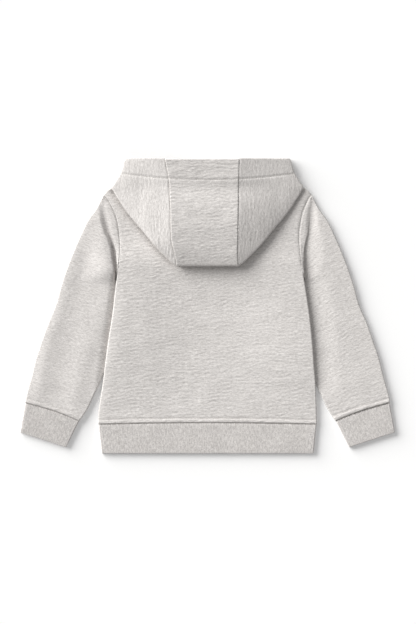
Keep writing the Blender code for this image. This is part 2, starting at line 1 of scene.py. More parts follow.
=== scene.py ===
"""The looks of a toddler hoodie laid flat with its back up and its hood folded down on the back.

Every piece of cloth is a thin wall on the form of its CAD node, made on a finer grid from the same named
sizes, with its creases, knit ripples, seams and sewing. Sizes and tables are in millimetres until they are
written into a mesh. A grid's grain map holds the way of the knit, in metres.
"""

import math

import bpy
import numpy as np
from mathutils.bvhtree import BVHTree
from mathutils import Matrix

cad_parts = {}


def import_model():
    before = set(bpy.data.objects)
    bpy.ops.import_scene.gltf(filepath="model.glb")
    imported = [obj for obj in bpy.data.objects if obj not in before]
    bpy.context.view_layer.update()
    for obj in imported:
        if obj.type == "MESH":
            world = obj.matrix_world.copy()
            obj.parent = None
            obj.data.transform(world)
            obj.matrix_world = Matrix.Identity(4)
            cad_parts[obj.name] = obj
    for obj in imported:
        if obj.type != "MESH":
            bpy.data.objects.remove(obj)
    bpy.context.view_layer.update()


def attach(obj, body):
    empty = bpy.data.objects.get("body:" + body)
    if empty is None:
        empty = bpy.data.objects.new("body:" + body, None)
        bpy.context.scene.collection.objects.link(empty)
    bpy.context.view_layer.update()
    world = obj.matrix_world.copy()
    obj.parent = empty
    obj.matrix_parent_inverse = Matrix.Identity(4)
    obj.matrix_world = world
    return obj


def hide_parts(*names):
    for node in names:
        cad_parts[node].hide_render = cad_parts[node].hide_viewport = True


MM = 0.001

# Cloth and layers, as in the CAD. Sewn seams have a narrower gap here.
CLOTH = 2.0
LEAST_CLOTH = 0.4
TURNED_HEM = 3.6
RIB_WALL = 3.0
GAP = 0.3
SEAM_GAP = 0.1
BODY_HIGH = 7.8
SLEEVE_HIGH = 8.2
CUFF_HIGH = 7.4
ROLL = 4.7
EDGE_ROLL = 1.4
INNER_TURN = 1.1

# Where a grid's lines lie, as distances in from an edge.
RIMS = (0.0, 0.25, 0.6, 1.1, 1.8, 2.7, 3.7, 4.7)
HEM_RIMS = (0.0, 0.35, 0.8, 1.3, 1.9, 2.6, 3.5)
SLEEVE_RIMS = (0.0, 0.5, 1.2, 2.1, 3.2, 4.5, 6.0, 7.6)
RIB_RIMS = (0.0, 0.3, 0.7, 1.3, 2.1)
HOOD_BOTTOM_RIMS = (0.0, 0.15, 0.4, 0.8, 1.4, 2.2, 3.2, 4.5, 6.0)
HOOD_SIDE_RIMS = (0.0, 0.2, 0.5, 0.9, 1.5, 2.3, 3.3, 4.7)
HOOD_SEAM_RIMS = (0.0, 0.25, 0.6, 1.1, 1.8, 2.8)
SLOPE_RUN = 0.5

# The body.
HEM_SEAM_SIDE = -183.2
HEM_SEAM_ARCH = 2.4
HEM_EDGE = -228.4
HEM_BAND_HALF_TOP = 168.8
HEM_BAND_HALF_EDGE = 164.3
UNDERARM = 51.2
SHOULDER_TIP_X = 161.2
SHOULDER_TIP_Y = 172.8
NECK_HALF = 72.0
NECK_POINT = 209.0
BACK_NECK_DROP = 12.0
FRONT_NECK_DROP = 59.0
FRONT_NECK_POWER = 2.2

# The side seams, which bulge unevenly, and the armholes: y, half width on the left and on the right
SIDE_SEAM = (
    (-183.2, 169.6, 169.6), (-164.0, 169.0, 169.1), (-118.0, 162.0, 167.4),
    (-99.0, 159.7, 165.7), (-54.0, 153.8, 162.3), (-14.0, 147.4, 158.1),
    (20.0, 143.5, 153.1), (40.0, 141.2, 149.9), (51.2, 140.0, 148.4),
)
ARMHOLE = (
    (51.2, 140.0, 148.4), (62.0, 138.6, 146.4), (74.4, 137.2, 144.8), (86.8, 136.2, 143.3),
    (99.2, 136.2, 142.3), (111.6, 137.0, 142.1), (124.0, 138.7, 143.3), (136.4, 141.4, 145.4),
    (148.8, 145.8, 148.8), (165.7, 155.0, 156.4), (172.8, 161.2, 161.2),
)

# x, y
SHOULDER = ((72.0, 209.0), (120.0, 196.0), (148.8, 183.7), (155.5, 179.0), (161.2, 172.8))

# Soft ridges and troughs of the back: x and y of the middle, half length along and across, turn, height
BACK_FOLDS = (
    (-116.0, -60.0, 95.0, 14.0, 92.0, -0.3), (-88.0, -70.0, 80.0, 12.0, 94.0, 0.2),
    (-60.0, -40.0, 60.0, 14.0, 20.0, 0.3), (35.0, -95.0, 80.0, 16.0, -8.0, 0.3),
    (70.0, 15.0, 55.0, 13.0, 14.0, -0.3), (-20.0, 22.0, 50.0, 10.0, -6.0, 0.3),
)

# The left side is rounder than the solid. The hood's edge presses the back down.
LEFT_ROUND = 1.0
LEFT_ROUND_REACH = 16.0
LEFT_ROUND_BOTTOM = (3.0, 12.0)
LEFT_ROUND_TOP = (UNDERARM - 30.0, UNDERARM)
HOOD_PRESS_LEFT = 3.0
HOOD_PRESS_RIGHT = 1.1
HOOD_PRESS_TURN = (-62.0, -42.0)
HOOD_PRESS_REACH = 10.0
HOOD_PRESS_UNDER = 8.0

# The sleeve lies partly under the body's side, which it lifts.
TUCK_LIFT = 5.0
TUCKED_HIGH = 4.6
TUCK_REACH = (12.0, 140.0)
TUCK_TOP = (62.0, 112.0)
TUCK_BOTTOM = (-183.0, -60.0)
TUCK_CLEAR = 1.0
TUCK_PRESS_LEFT = 12.0
TUCK_PRESS_RIGHT = 40.0
PRESS_BOTTOM = (-160.0, -116.0)
PRESS_TOP = (34.0, 58.0)
CREASE_CLEAR = 0.6
RIGHT_SOFTER = 0.35
WALL_SHOULDER = 0.32
WALL_SHOULDER_REACH = 16.0
CREST = 7.5
CREST_ACROSS = (10.0, 56.0)
CREST_DOWN = (28.0, 60.0)
STRIP_OVERHANG = 2.4
OVERHANG_RING = 0.8
CALM_CREASE = 0.3
CALM_START = 0.03
CALM_SIDE = 0.1
OUTER_ROUND = 1.3
OUTER_ROUND_REACH = 20.0

# The deep crease beside the armhole: y, x on the left, x on the right
CREASE = (
    (40.0, 142.6, 151.2), (50.0, 140.7, 149.4), (62.0, 139.8, 148.2), (74.4, 140.4, 148.2),
    (86.8, 141.5, 148.6), (99.2, 145.8, 150.4), (111.6, 151.2, 154.4), (124.0, 155.2, 157.0),
    (136.4, 158.2, 158.8), (148.8, 161.2, 161.0), (165.7, 164.6, 164.6),
)

# Share of the crease up from the underarm, then for the left and for the right the height of the cloth in it,
# the width of its floor, the width of the sleeve's rise beside it, and how steep its walls are
TROUGH = (
    (0.0, 4.4, 0.6, 7.0, 1.0, 4.4, 0.5, 26.0, 1.0), (0.1, 4.3, 3.2, 2.0, 1.0, 4.3, 2.5, 28.0, 1.0),
    (0.22, 4.3, 5.6, 2.2, 1.0, 4.3, 4.5, 28.0, 1.0), (0.37, 4.3, 6.0, 3.0, 1.0, 4.3, 6.5, 28.0, 1.0),
    (0.5, 4.6, 3.0, 6.0, 0.5, 4.4, 6.5, 24.0, 0.9), (0.65, 5.6, 0.8, 9.0, 0.0, 4.6, 4.5, 13.0, 0.4),
    (0.87, 6.8, 0.3, 8.0, 0.0, 5.8, 1.2, 9.0, 0.0), (1.0, 7.8, 0.3, 5.0, 0.0, 7.8, 0.3, 5.0, 0.0),
)

# The strip of sleeve between the crease and the armhole: distance from the crease, share of its rise
STRIP_RISE = ((0.0, 0.0), (0.1, 0.55), (0.4, 0.8), (0.9, 0.93), (1.8, 0.985), (4.0, 1.0))

# Its rings: distances from the crease, shares between, and distances from the armhole
CREASE_RINGS = (0.1, 0.25, 0.4, 0.6, 0.9, 1.3, 1.8, 2.6, 4.0)
MIDDLE_RINGS = (0.12, 0.25, 0.4, 0.55, 0.7, 0.85)
SEAM_RINGS = (0.0, 0.4, 0.8, 1.3, 1.9, 2.6, 3.5)
STRIP_SOFTER = 1.9
WALL_TURN = (0.9, 2.6)
WALL_LEAST = 8.0

# y, x
SLEEVE_OUTER = (
    (-149.9, 283.0), (-136.4, 280.6), (-108.5, 272.8), (-80.6, 265.8), (-52.7, 256.5),
    (-24.8, 246.5), (3.1, 234.8), (31.0, 227.1), (58.9, 217.8), (86.8, 206.9),
    (114.7, 194.5), (133.3, 185.2), (151.9, 171.8), (165.7, 164.6),
)

# y, x on the left, x on the right
SLEEVE_INNER = (
    (-178.3, 198.2, 198.2), (-161.2, 186.8, 186.8), (-136.4, 175.0, 175.0), (-112.7, 163.8, 163.8),
    (-80.0, 149.5, 153.5), (-50.0, 138.5, 146.0), (-20.0, 130.5, 141.0), (5.0, 129.5, 141.0),
    (25.0, 135.5, 146.0), (40.0, 142.6, 151.2),
)

# Lengthwise folds of the sleeves: side, the share across where the fold lies at the shoulder, halfway and at
# the cuff, half width, height
SLEEVE_FOLDS = (
    (-1, 0.2, 0.38, 0.16, 0.14, 0.9), (-1, 0.84, 0.71, 0.48, 0.14, -0.6),
    (-1, 1.0, 0.95, 0.8, 0.1, 0.7), (1, 0.7, 0.66, 0.6, 0.26, 0.7),
)
FOLD_START = 0.12
FOLD_FADE = 0.5
GRAIN_TURN = math.radians(18.0)

# Cuffs and ribs. The seam between sleeve and cuff and the cuff's folded edge run between plan points.
CUFF_SEAM_INNER = (198.2, -178.3)
CUFF_SEAM_OUTER = (283.0, -149.9)
CUFF_BOW = 2.3
CUFF_EDGE_INNER = (219.0, -219.0)
CUFF_EDGE_OUTER = (290.5, -195.8)
CUFF_INSET = 0.008
RIB_PITCH = 1.65
RIB_RELIEF = 0.4
RIB_FOLD = 1.0
RIB_FOLD_THINNER = 1.5
RIB_START = 2.0
RIB_UNEVEN_START = 6.0
RIB_FOLD_REACH = 1.6
RIB_FOLD_DIP = 0.25
RIB_FOLD_DIP_PLACE = 3.0
POINTS_PER_RIB = 5

# The ribs' wander in two sizes, as shares of the pitch, and their unevenness: size, length, width, seed
RIB_NOISES = ((0.35, 30.0, 16.0, 41), (0.1, 4.0, 9.0, 42), (0.18, 22.0, 30.0, 43))

# The hood: y and x of its outline, middle and top of its edge, how far in its lower layer is rounded
HOOD_EDGE = (
    (61.5, 47.6, 15.0, 24.2, 8.0), (66.8, 55.3, 14.6, 23.6, 8.0), (92.2, 80.9, 12.8, 20.6, 7.0),
    (117.8, 102.1, 11.4, 16.8, 6.0), (143.2, 123.4, 10.6, 13.6, 5.5), (165.0, 138.0, 10.2, 12.6, 5.0),
    (178.0, 145.9, 10.0, 12.6, 4.7), (183.7, 148.8, 9.6, 12.8, 4.7), (192.0, 143.6, 7.2, 13.4, 4.7),
    (206.0, 135.6, 5.2, 14.0, 4.7), (218.0, 131.5, 4.8, 14.0, 4.7), (225.0, 129.5, 4.6, 14.0, 4.7),
    (228.4, 127.0, 4.6, 14.0, 4.7),
)
EDGE_MIDDLE, EDGE_TOP, EDGE_REACH = 2, 3, 4

# y, x of the left seam, x of the right seam, height of the centre panel
HOOD_CENTRE = (
    (61.5, -47.5, 47.5, 24.2), (72.0, -49.0, 46.2, 28.4), (84.0, -51.6, 46.0, 32.0),
    (100.0, -55.3, 46.4, 34.8), (120.0, -56.3, 46.7, 36.2), (140.0, -56.9, 47.1, 35.8),
    (160.0, -57.6, 47.4, 33.8), (178.0, -58.3, 47.6, 30.9), (186.0, -58.6, 47.7, 30.1),
    (195.0, -59.4, 47.9, 30.4), (206.0, -61.2, 48.2, 30.7), (228.4, -66.0, 48.8, 31.6),
)
CENTRE_LEFT, CENTRE_RIGHT, CENTRE_HIGH = 1, 2, 3

# Soft ridges and troughs of the hood: x, y, half length along and across, turn, height
HOOD_FOLDS = (
    (-12.0, 124.0, 26.0, 6.0, 6.0, 0.4), (10.0, 138.0, 30.0, 6.0, -4.0, -0.35),
    (-8.0, 92.0, 34.0, 6.0, 3.0, 0.3), (-85.0, 150.0, 40.0, 12.0, 80.0, 0.3),
    (-105.0, 170.0, 34.0, 9.0, 75.0, -0.4), (92.0, 150.0, 38.0, 12.0, 102.0, 0.25),
)

# Its hem, its middle, its rolled edge and its lower layer.
HOOD_HEM_LINE = 195.4
HOOD_HEM_RISE = 10.0
HOOD_HEM_SPAN = 136.0
HOOD_MOUTH_DIP = 1.5
HOOD_REST = 0.4
HOOD_SHOULDER_CLEAR = 5.5
HEM_TURN = 3.0
OUTLINE_STEPS = 80
HOOD_HEM_SINK = 1.1
HOOD_HEM_SINK_WIDTH = 1.3
RIM_REACH = 1.7
RIM_TURN = 0.75
RIM_INNER_REACH = 0.6
HOOD_LEFT_FULLER = 8.5
CENTRE_LEAN = 4.2
CENTRE_LEAN_START = (61.5, 100.0)
CENTRE_LEAN_END = (178.0, 200.0)
CENTRE_LEAN_LOST = 0.5
EDGE_DROP_LEFT = 0.25
EDGE_DROP_RIGHT = 0.1
EDGE_DROP_POWER = 6.0
CENTRE_PROUD = 0.7
CENTRE_ROUND = 1.3
SIDE_SINK = 0.9
SIDE_SINK_WIDTH = 1.6
LEAST_RUN = 0.1
LOWER_TOP = 178.0
LOWER_COLUMNS = 61
HOOD_STEP = 1.35
HOOD_CENTRE_WIDE = 104.0
HOOD_SIDE_WIDE = 88.0

# The mouth edge on the hood's hidden front: x, y. Its points lie further in than those of the neckline.
MOUTH_FRONT = (
    (0.0, 172.0), (21.0, 184.0), (44.0, 202.0), (62.0, 214.0),
    (80.0, 221.5), (98.0, 226.5), (112.0, 228.2),
)
MOUTH_LEAN = 0.87
FRONT_SEAM_GAP = 0.48
FRONT_CENTRE_GAP = 0.4
FRONT_EDGE_X = 148.8
FRONT_LAST_X = 133.0

# Sewing.
SEAM_SINK = 1.5
SEAM_SINK_WIDTH = 1.3
TOPSTITCH = 7.0
TOPSTITCH_SINK = 1.1
TOPSTITCH_WIDTH = 0.8
SEWN_STRIP_RISE = 0.7
SEWN_STRIP_START = (0.2, 1.2)
SEWN_STRIP_END = (5.4, TOPSTITCH)
SEWN_SINK_WIDTH = 0.78
ARMHOLE_SINK = 1.0
ARMHOLE_SINK_WIDTH = 1.5
ARMHOLE_STITCH = 2.2
ARMHOLE_STITCH_SINK = 0.3
ARMHOLE_SINK_START = (UNDERARM, UNDERARM + 20.0)
STITCH_STEP = 3.2
STITCH_LENGTH = 2.5
STITCH_LONGEST = 5.0
STITCH_WIDTH = 0.62
STITCH_HIGH = 0.5
STITCH_RAISED = 0.1
STITCH_SIDES = 6
RAY_START = 0.1

# The thick places along a stitch: share of its length, share of its thickness
STITCH_RINGS = ((-0.4, 0.75), (-0.15, 1.0), (0.15, 1.0), (0.4, 0.75))

# Ripples of the knit: the fine ones' height and length, the broad ones' height, length and width, both seeds
BACK_RIPPLES = (0.48, 8.5, 0.2, 14.0, 9.0, 11, 12)
FRONT_RIPPLES = (0.144, 8.5, 0.06, 14.0, 9.0, 12, 13)
SLEEVE_RIPPLES = {-1: (0.62, 8.0, 0.16, 16.0, 9.0, 20, 30), 1: (0.42, 8.0, 0.16, 16.0, 9.0, 22, 32)}
HOOD_CENTRE_RIPPLES = (0.44, 7.5, 0.28, 11.0, 8.0, 51, 52)
HOOD_SIDE_RIPPLES = (0.25, 11.0, 0.14, 20.0, 8.0, 53, 54)
LOWER_RIPPLES = (0.144, 8.5, 0.06, 14.0, 9.0, 61, 62)
CALM_EDGE = (0.0, 9.0)
CRINKLE_WANDER = 2.4
CRINKLE_PITCH = 5.6
CRINKLE_WIDE = 8.4
WANDER_WIDE = 11.2
WANDER_SEED = 7
LATTICE = 512
LATTICE_SHIFT = 1000.0

# Yarn: millimetres along the knit, across it, colour weight, relief weight
FLEECE_YARN = ((5.0, 1.4, 0.42, 0.46), (20.0, 1.5, 0.2, 0.24), (2.0, 1.1, 0.3, 0.3), (60.0, 26.0, 0.08, 0.0))
RIB_YARN = ((2.4, 6.0, 0.42, 0.35), (1.2, 2.0, 0.48, 0.45), (40.0, 40.0, 0.1, 0.0))
YARN_WANDER = 4.0
YARN_WANDER_SIZE = (16.0, 12.0, 1000.0)

# Light and floor.
KEY_ELEVATION = 23.0
KEY_AZIMUTH = 145.0
KEY_SOFTNESS = 52.0
KEY_STRENGTH = 5.35
SKY_STRENGTH = 0.375
FLOOR_GLOW = 0.14
FLOOR_SIZE = 6.0
FLOOR_TONE = (0.83, 0.85)
FLOOR_DEPTH = 0.3
WHITE = (1.0, 1.0, 1.0, 1.0)

# The photograph's frame, its scale, and the garment's origin in it.
FRAME_HIGH_PIXELS = 624
MM_PER_PIXEL = 1.55
VIEW_X = 0.775
VIEW_Y = -9.3
LENS = 400.0
SENSOR = 36.0
CLIP_END = 20.0

SIDES = (("left", -1), ("right", 1))


# Curves and blends on arrays.

def soft_step(low, high, value):
    """From 0 at low to 1 at high, with level ends."""
    share = np.clip((value - low) / (high - low), 0.0, 1.0)
    return share * share * (3.0 - 2.0 * share)


def soft_fall(low, high, value):
    return 1.0 - soft_step(low, high, value)


def window(rise, fall, value):
    """1 from the end of a rise to the start of a fall, and 0 outside both."""
    return soft_step(*rise, value) * soft_fall(*fall, value)


def blend(start, end, share):
    return start + (end - start) * share


def between(start, end, share):
    """A plan point between two plan points."""
    return blend(start[0], end[0], share), blend(start[1], end[1], share)


def distance(start, end):
    return np.hypot(end[0] - start[0], end[1] - start[1])


def grid(*parts):
    """Points from their coordinates."""
    return np.stack(parts, -1)


def turned(x, y, angle):
    """How far plan points lie along a direction and across it."""
    return x * math.cos(angle) + y * math.sin(angle), y * math.cos(angle) - x * math.sin(angle)


def slope_at(curve, place):
    return (curve(place + SLOPE_RUN) - curve(place - SLOPE_RUN)) / (2.0 * SLOPE_RUN)


def read(table, key, column=1):
    """A smooth curve through one column of a table, read at values of its first column."""
    keys, values = np.array([(row[0], row[column]) for row in table]).T
    index = np.arange(len(table))
    above = np.minimum(index + 1, index[-1])
    below = np.maximum(index - 1, 0)
    slopes = (values[above] - values[below]) / (keys[above] - keys[below])
    key = np.clip(key, keys[0], keys[-1])
    row = np.clip(np.searchsorted(keys, key, side="right") - 1, 0, index[-2])
    width = keys[row + 1] - keys[row]
    share = (key - keys[row]) / width
    rise = soft_step(0.0, 1.0, share)
    start_pull = share * (1.0 - share) ** 2 * width * slopes[row]
    end_pull = share * share * (share - 1.0) * width * slopes[row + 1]
    return blend(values[row], values[row + 1], rise) + start_pull + end_pull


def bulge(inside, reach):
    """The height share of a rounded edge at a distance in from it."""
    left = 1.0 - np.clip(inside / reach, 0.0, 1.0)
    return np.sqrt(1.0 - left * left)


def rounded(inside, reach):
    """The share of height that a soft rounding takes off at a distance in from an edge."""
    return (1.0 - np.clip(inside / reach, 0.0, 1.0)) ** 2


def valley(offset, width):
    """A soft dip, 1 at its middle."""
    return np.exp(-((offset / width) ** 2))


def knit(u, v, long, wide, seed):
    """Smooth seeded noise from about -1 to 1, drawn out along u."""
    lattice = np.random.default_rng(seed).uniform(-1.0, 1.0, (LATTICE, LATTICE))
    x = np.asarray(u) / long + LATTICE_SHIFT
    y = np.asarray(v) / wide + LATTICE_SHIFT
    column = np.floor(x).astype(int)
    row = np.floor(y).astype(int)

    def along(row):
        values = (lattice[row % LATTICE, (column + step) % LATTICE] for step in (0, 1))
        return blend(*values, soft_step(0.0, 1.0, x - column))

    return blend(along(row), along(row + 1), soft_step(0.0, 1.0, y - row))


def crinkle(u, v, long, seed):
    """Knit ripples along u that wander, and come and go."""
    wander = CRINKLE_WANDER * knit(u, v, long, WANDER_WIDE, seed + WANDER_SEED)
    waves = np.cos(2.0 * math.pi * (v + wander) / CRINKLE_PITCH)
    return knit(u, v, long, CRINKLE_WIDE, seed) * waves


def ripples(sizes, u, v):
    """Fine ripples on broad ones."""
    high, long, broad_high, broad_long, broad_wide, seed, broad_seed = sizes
    fine = high * crinkle(u, v, long, seed)
    return fine + broad_high * knit(u, v, broad_long, broad_wide, broad_seed)


def folds(x, y, table):
    """The height that a table of soft ridges adds."""
    rise = np.zeros_like(x)
    for middle_x, middle_y, long, wide, turn, height in table:
        along, across = turned(x - middle_x, y - middle_y, math.radians(turn))
        rise = rise + height * np.exp(-((along / long) ** 2) - (across / wide) ** 2)
    return rise


def spread(rims, wide, step):
    """Places from 0 to a width: fine steps in from both ends, and even ones between."""
    finish = [wide - rim for rim in reversed(rims)]
    count = max(int(round((finish[0] - rims[-1]) / step)), 1)
    return np.array([*rims, *np.linspace(rims[-1], finish[0], count + 1)[1:-1], *finish])


# Meshes.

def shell(name, grids, finish, wraps=False, flipped=False):
    """One piece of cloth from an outer and an inner grid and its grain. A tube's rings wrap round."""
    outer, inner, grain = (part[:, ::-1] if flipped else part for part in grids)
    rows, columns = outer.shape[:2]
    shift = rows * columns
    index = np.arange(shift).reshape(rows, columns)
    if wraps:
        index = np.hstack([index, index[:, :1]])
    corners = (index[:-1, :-1], index[:-1, 1:], index[1:, 1:], index[1:, :-1])
    front = np.stack([corner.ravel() for corner in corners], 1)
    faces = [front, front[:, [0, 3, 2, 1]] + shift]
    rims = [index[0], index[-1][::-1]]
    if not wraps:
        rims += [index[:, 0][::-1], index[:, -1]]
    for rim in rims:
        faces.append(np.stack([rim[:-1], rim[:-1] + shift, rim[1:] + shift, rim[1:]], 1))
    faces = np.concatenate(faces)
    points = np.concatenate([outer.reshape(-1, 3), inner.reshape(-1, 3)]) * MM
    mesh = bpy.data.meshes.new(name)
    mesh.from_pydata(points.tolist(), [], faces.tolist())
    places = grain.reshape(-1, 2)[faces.ravel() % shift] * MM
    mesh.uv_layers.new(name="grain").uv.foreach_set("vector", places.astype(np.float32).ravel())
    mesh.shade_smooth()
    return placed(name, mesh, finish)


def placed(name, mesh, finish):
    piece = bpy.data.objects.new(name, mesh)
    bpy.context.scene.collection.objects.link(piece)
    mesh.materials.append(finish)
    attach(piece, "root")
    return piece


# The body's outline and heights.

def column_of(side):
    """The column of a table that holds the left (-1) or the right (1) side."""
    return 1 if side < 0 else 2


def body_half(y, side):
    below = read(SIDE_SEAM, y, column_of(side))
    return np.where(y < UNDERARM, below, read(ARMHOLE, y, column_of(side)))


def body_half_at(x, y):
    return np.where(x < 0, body_half(y, -1), body_half(y, 1))


def hem_seam(x):
    return HEM_SEAM_SIDE + HEM_SEAM_ARCH * (1.0 - np.minimum((x / HEM_BAND_HALF_TOP) ** 2, 1.0))


def shoulder_line(x):
    return read(SHOULDER, np.abs(x))


def neck_share(x):
    return np.minimum(np.abs(x), NECK_HALF) / NECK_HALF


def back_neck(x):
    return NECK_POINT - BACK_NECK_DROP * (1.0 - neck_share(x) ** 2)


def front_neck(x):
    return NECK_POINT - FRONT_NECK_DROP * (1.0 - neck_share(x) ** FRONT_NECK_POWER)


def lift(x, y):
    """How far the sleeve under it lifts the body."""
    inside = body_half_at(x, y) - np.abs(x)
    return TUCK_LIFT * window(TUCK_BOTTOM, TUCK_TOP, y) * soft_fall(*TUCK_REACH, inside)


def edge_distance(x, y, edge_y):
    """Distance to the side seam or to the shoulder seam."""
    reach = np.abs(x)
    from_side = np.hypot(body_half_at(x, edge_y) - reach, np.maximum(edge_y - UNDERARM, 0.0))
    from_shoulder = (shoulder_line(x) - y) / np.hypot(1.0, slope_at(shoulder_line, reach))
    nearest = np.minimum(from_side, np.maximum(from_shoulder, 0.0))
    return np.where(reach < NECK_HALF, from_side, nearest)


def body_grid(neck, column_step, row_step):
    """The plan points of a body panel, and each row's height on the side seam."""
    side_count = int(round((SHOULDER_TIP_X - NECK_HALF) / column_step)) + 1
    middle = np.linspace(-NECK_HALF, NECK_HALF, int(round(2.0 * NECK_HALF / column_step)) + 1)
    seam_rows = [HEM_SEAM_SIDE + rim for rim in HEM_RIMS]
    rows = list(np.arange(seam_rows[-1] + row_step, SHOULDER_TIP_Y - RIMS[-1], row_step))
    rows = np.array(seam_rows + rows + [SHOULDER_TIP_Y - rim for rim in reversed(RIMS)])

    def half(wide):
        """Places from a side seam in to the neck."""
        return np.append(wide - RIMS[:-1], np.linspace(wide - RIMS[-1], NECK_HALF, side_count)[:-1])

    def columns(edge_y):
        return np.concatenate([-half(body_half(edge_y, -1)), middle, half(body_half(edge_y, 1))[::-1]])

    top_x = columns(SHOULDER_TIP_Y)
    top_y = np.where(np.abs(top_x) < NECK_HALF, neck(top_x), shoulder_line(top_x))
    x = np.array([columns(edge_y) for edge_y in rows])
    share = (rows - HEM_SEAM_SIDE) / (SHOULDER_TIP_Y - HEM_SEAM_SIDE)
    y = blend(hem_seam(x) + SEAM_GAP / 2, top_y[None, :], share[:, None])
    return x, y, rows[:, None]


def armhole_distance(x, y):
    """Distance in from the armhole, endless below it."""
    slope = slope_at(lambda up: body_half_at(x, up), y)
    return np.where(y > UNDERARM, (body_half_at(x, y) - np.abs(x)) / np.hypot(1.0, slope), np.inf)


def sewn(offset):
    """The relief beside a seam that is topstitched on this side: groove, raised strip and stitched dip."""
    strip = SEWN_STRIP_RISE * window(SEWN_STRIP_START, SEWN_STRIP_END, offset)
    stitched = TOPSTITCH_SINK * valley(offset - TOPSTITCH, TOPSTITCH_WIDTH)
    return strip - stitched - SEAM_SINK * valley(offset, SEWN_SINK_WIDTH)


def hood_press(x, y):
    """How far the hood's rolled edge presses the back down beside it and under it."""
    away = outline_distance(x, y)
    deep = blend(HOOD_PRESS_LEFT, HOOD_PRESS_RIGHT, soft_step(*HOOD_PRESS_TURN, x))
    is_under = (np.abs(x) < hood_edge(y)) & (y > HOOD_EDGE[0][0])
    under = soft_fall(0.0, HOOD_PRESS_UNDER, away)
    return deep * np.where(is_under, under, rounded(away, HOOD_PRESS_REACH))


def back_relief(x, y, edge_y, inside):
    above_hem = y - hem_seam(x)
    rise = ripples(BACK_RIPPLES, x, y) + folds(x, y, BACK_FOLDS) - hood_press(x, y)
    rise = rise * soft_step(*CALM_EDGE, inside) + sewn(above_hem)
    fallen = rounded(inside, LEFT_ROUND_REACH) * soft_step(*LEFT_ROUND_BOTTOM, above_hem)
    fallen = LEFT_ROUND * fallen * soft_fall(*LEFT_ROUND_TOP, edge_y)
    armhole = armhole_distance(x, y)
    sewing = ARMHOLE_SINK * valley(armhole, ARMHOLE_SINK_WIDTH)
    sewing = sewing + ARMHOLE_STITCH_SINK * valley(armhole - ARMHOLE_STITCH, TOPSTITCH_WIDTH)
    return rise - np.where(x < 0, fallen, 0.0) - sewing * soft_step(*ARMHOLE_SINK_START, y)


def body_panel(name, is_back, finish, column_step, row_step):
    """The back lies over the front, and both are rounded to the seams between them."""
    x, y, edge_y = body_grid(back_neck if is_back else front_neck, column_step, row_step)
    inside = edge_distance(x, y, edge_y)
    rise = lift(x, y)
    up = 1.0 if is_back else -1.0
    seam = BODY_HIGH / 2 + rise + up * GAP / 2
    face = rise + (BODY_HIGH if is_back else 0.0)
    outer = blend(seam, face, bulge(inside, EDGE_ROLL if is_back else ROLL))
    inner = blend(seam, face - up * CLOTH, bulge(inside - CLOTH, ROLL - CLOTH))
    if is_back:
        outer = outer + back_relief(x, y, edge_y, inside)
        inner = np.minimum(inner, outer - LEAST_CLOTH)
    else:
        inner = inner + ripples(FRONT_RIPPLES, x, y) * soft_step(*CALM_EDGE, inside)
    return shell(name, (grid(x, y, outer), grid(x, y, inner), grid(x, y)), finish, flipped=not is_back)


# Tubes: sleeves and ribs.

def ring_shares(rim_share, top_count, low_count):
    """Shares across the top from edge to edge and back along the underside, and which side each is on."""
    rims = np.array(RIMS) / RIMS[-1] * rim_share
    ends = (rim_share, 1.0 - rim_share)
    top, low = (np.concatenate([rims, np.linspace(*ends, count)[1:-1], 1.0 - rims[::-1]])
                for count in (top_count, low_count))
    faces = np.concatenate([np.ones(len(top)), -np.ones(len(low) - 2)])
    return np.concatenate([top, low[::-1][1:-1]]), faces


def tube_ring(plan, low, high, thick, shares, faces, relief, inner_plan=None):
    """The outer and inner ring of a flattened tube. relief is added to the upper side's outer points."""
    width = float(distance(plan(0.0), plan(1.0)))
    edge = np.minimum(shares, 1.0 - shares) * width
    middle = (low + high) / 2
    half = (high - low) / 2
    round_share = bulge(edge, ROLL)
    bump = np.where(faces > 0, relief, 0.0) * round_share
    outer = grid(*plan(shares), middle + faces * half * bulge(edge, EDGE_ROLL) + bump)
    inset = np.where(edge < ROLL, blend(thick * INNER_TURN, ROLL, np.minimum(edge / ROLL, 1.0)), edge)
    inner_share = np.where(shares < 0.5, inset / width, 1.0 - inset / width)
    inner = grid(*(inner_plan or plan)(inner_share), middle + faces * (half - thick) * round_share)
    return outer, inner


def beside_armhole(y, side, out):
    """Points at a distance out from the armhole's line."""
    def line(y):
        return read(ARMHOLE, y, column_of(side))

    slope = slope_at(line, y)
    length = np.hypot(1.0, slope)
    return line(y) + out / length, y - out * slope / length


def seam_point(share, side):
    """A point on the sleeve's end, which follows the armhole at a gap."""
    return beside_armhole(blend(UNDERARM, SHOULDER_TIP_Y, share), side, SEAM_GAP)


def crease_point(share, side):
    y = blend(CREASE[0][0], CREASE[-1][0], share)
    x = read(CREASE, y, column_of(side))
    return np.where(y < UNDERARM, np.maximum(x, body_half(y, side) + CREASE_CLEAR), x), y


def cuff_line(share, away=0.0):
    """A line at a distance up the sleeve from the slightly bowed seam that the cuff hangs on."""
    across = np.subtract(CUFF_SEAM_OUTER, CUFF_SEAM_INNER)
    across = across / np.linalg.norm(across)
    away = away + CUFF_BOW * 4.0 * share * (1.0 - share)
    x, y = between(CUFF_SEAM_INNER, CUFF_SEAM_OUTER, share)
    return x - across[1] * away, y + across[0] * away


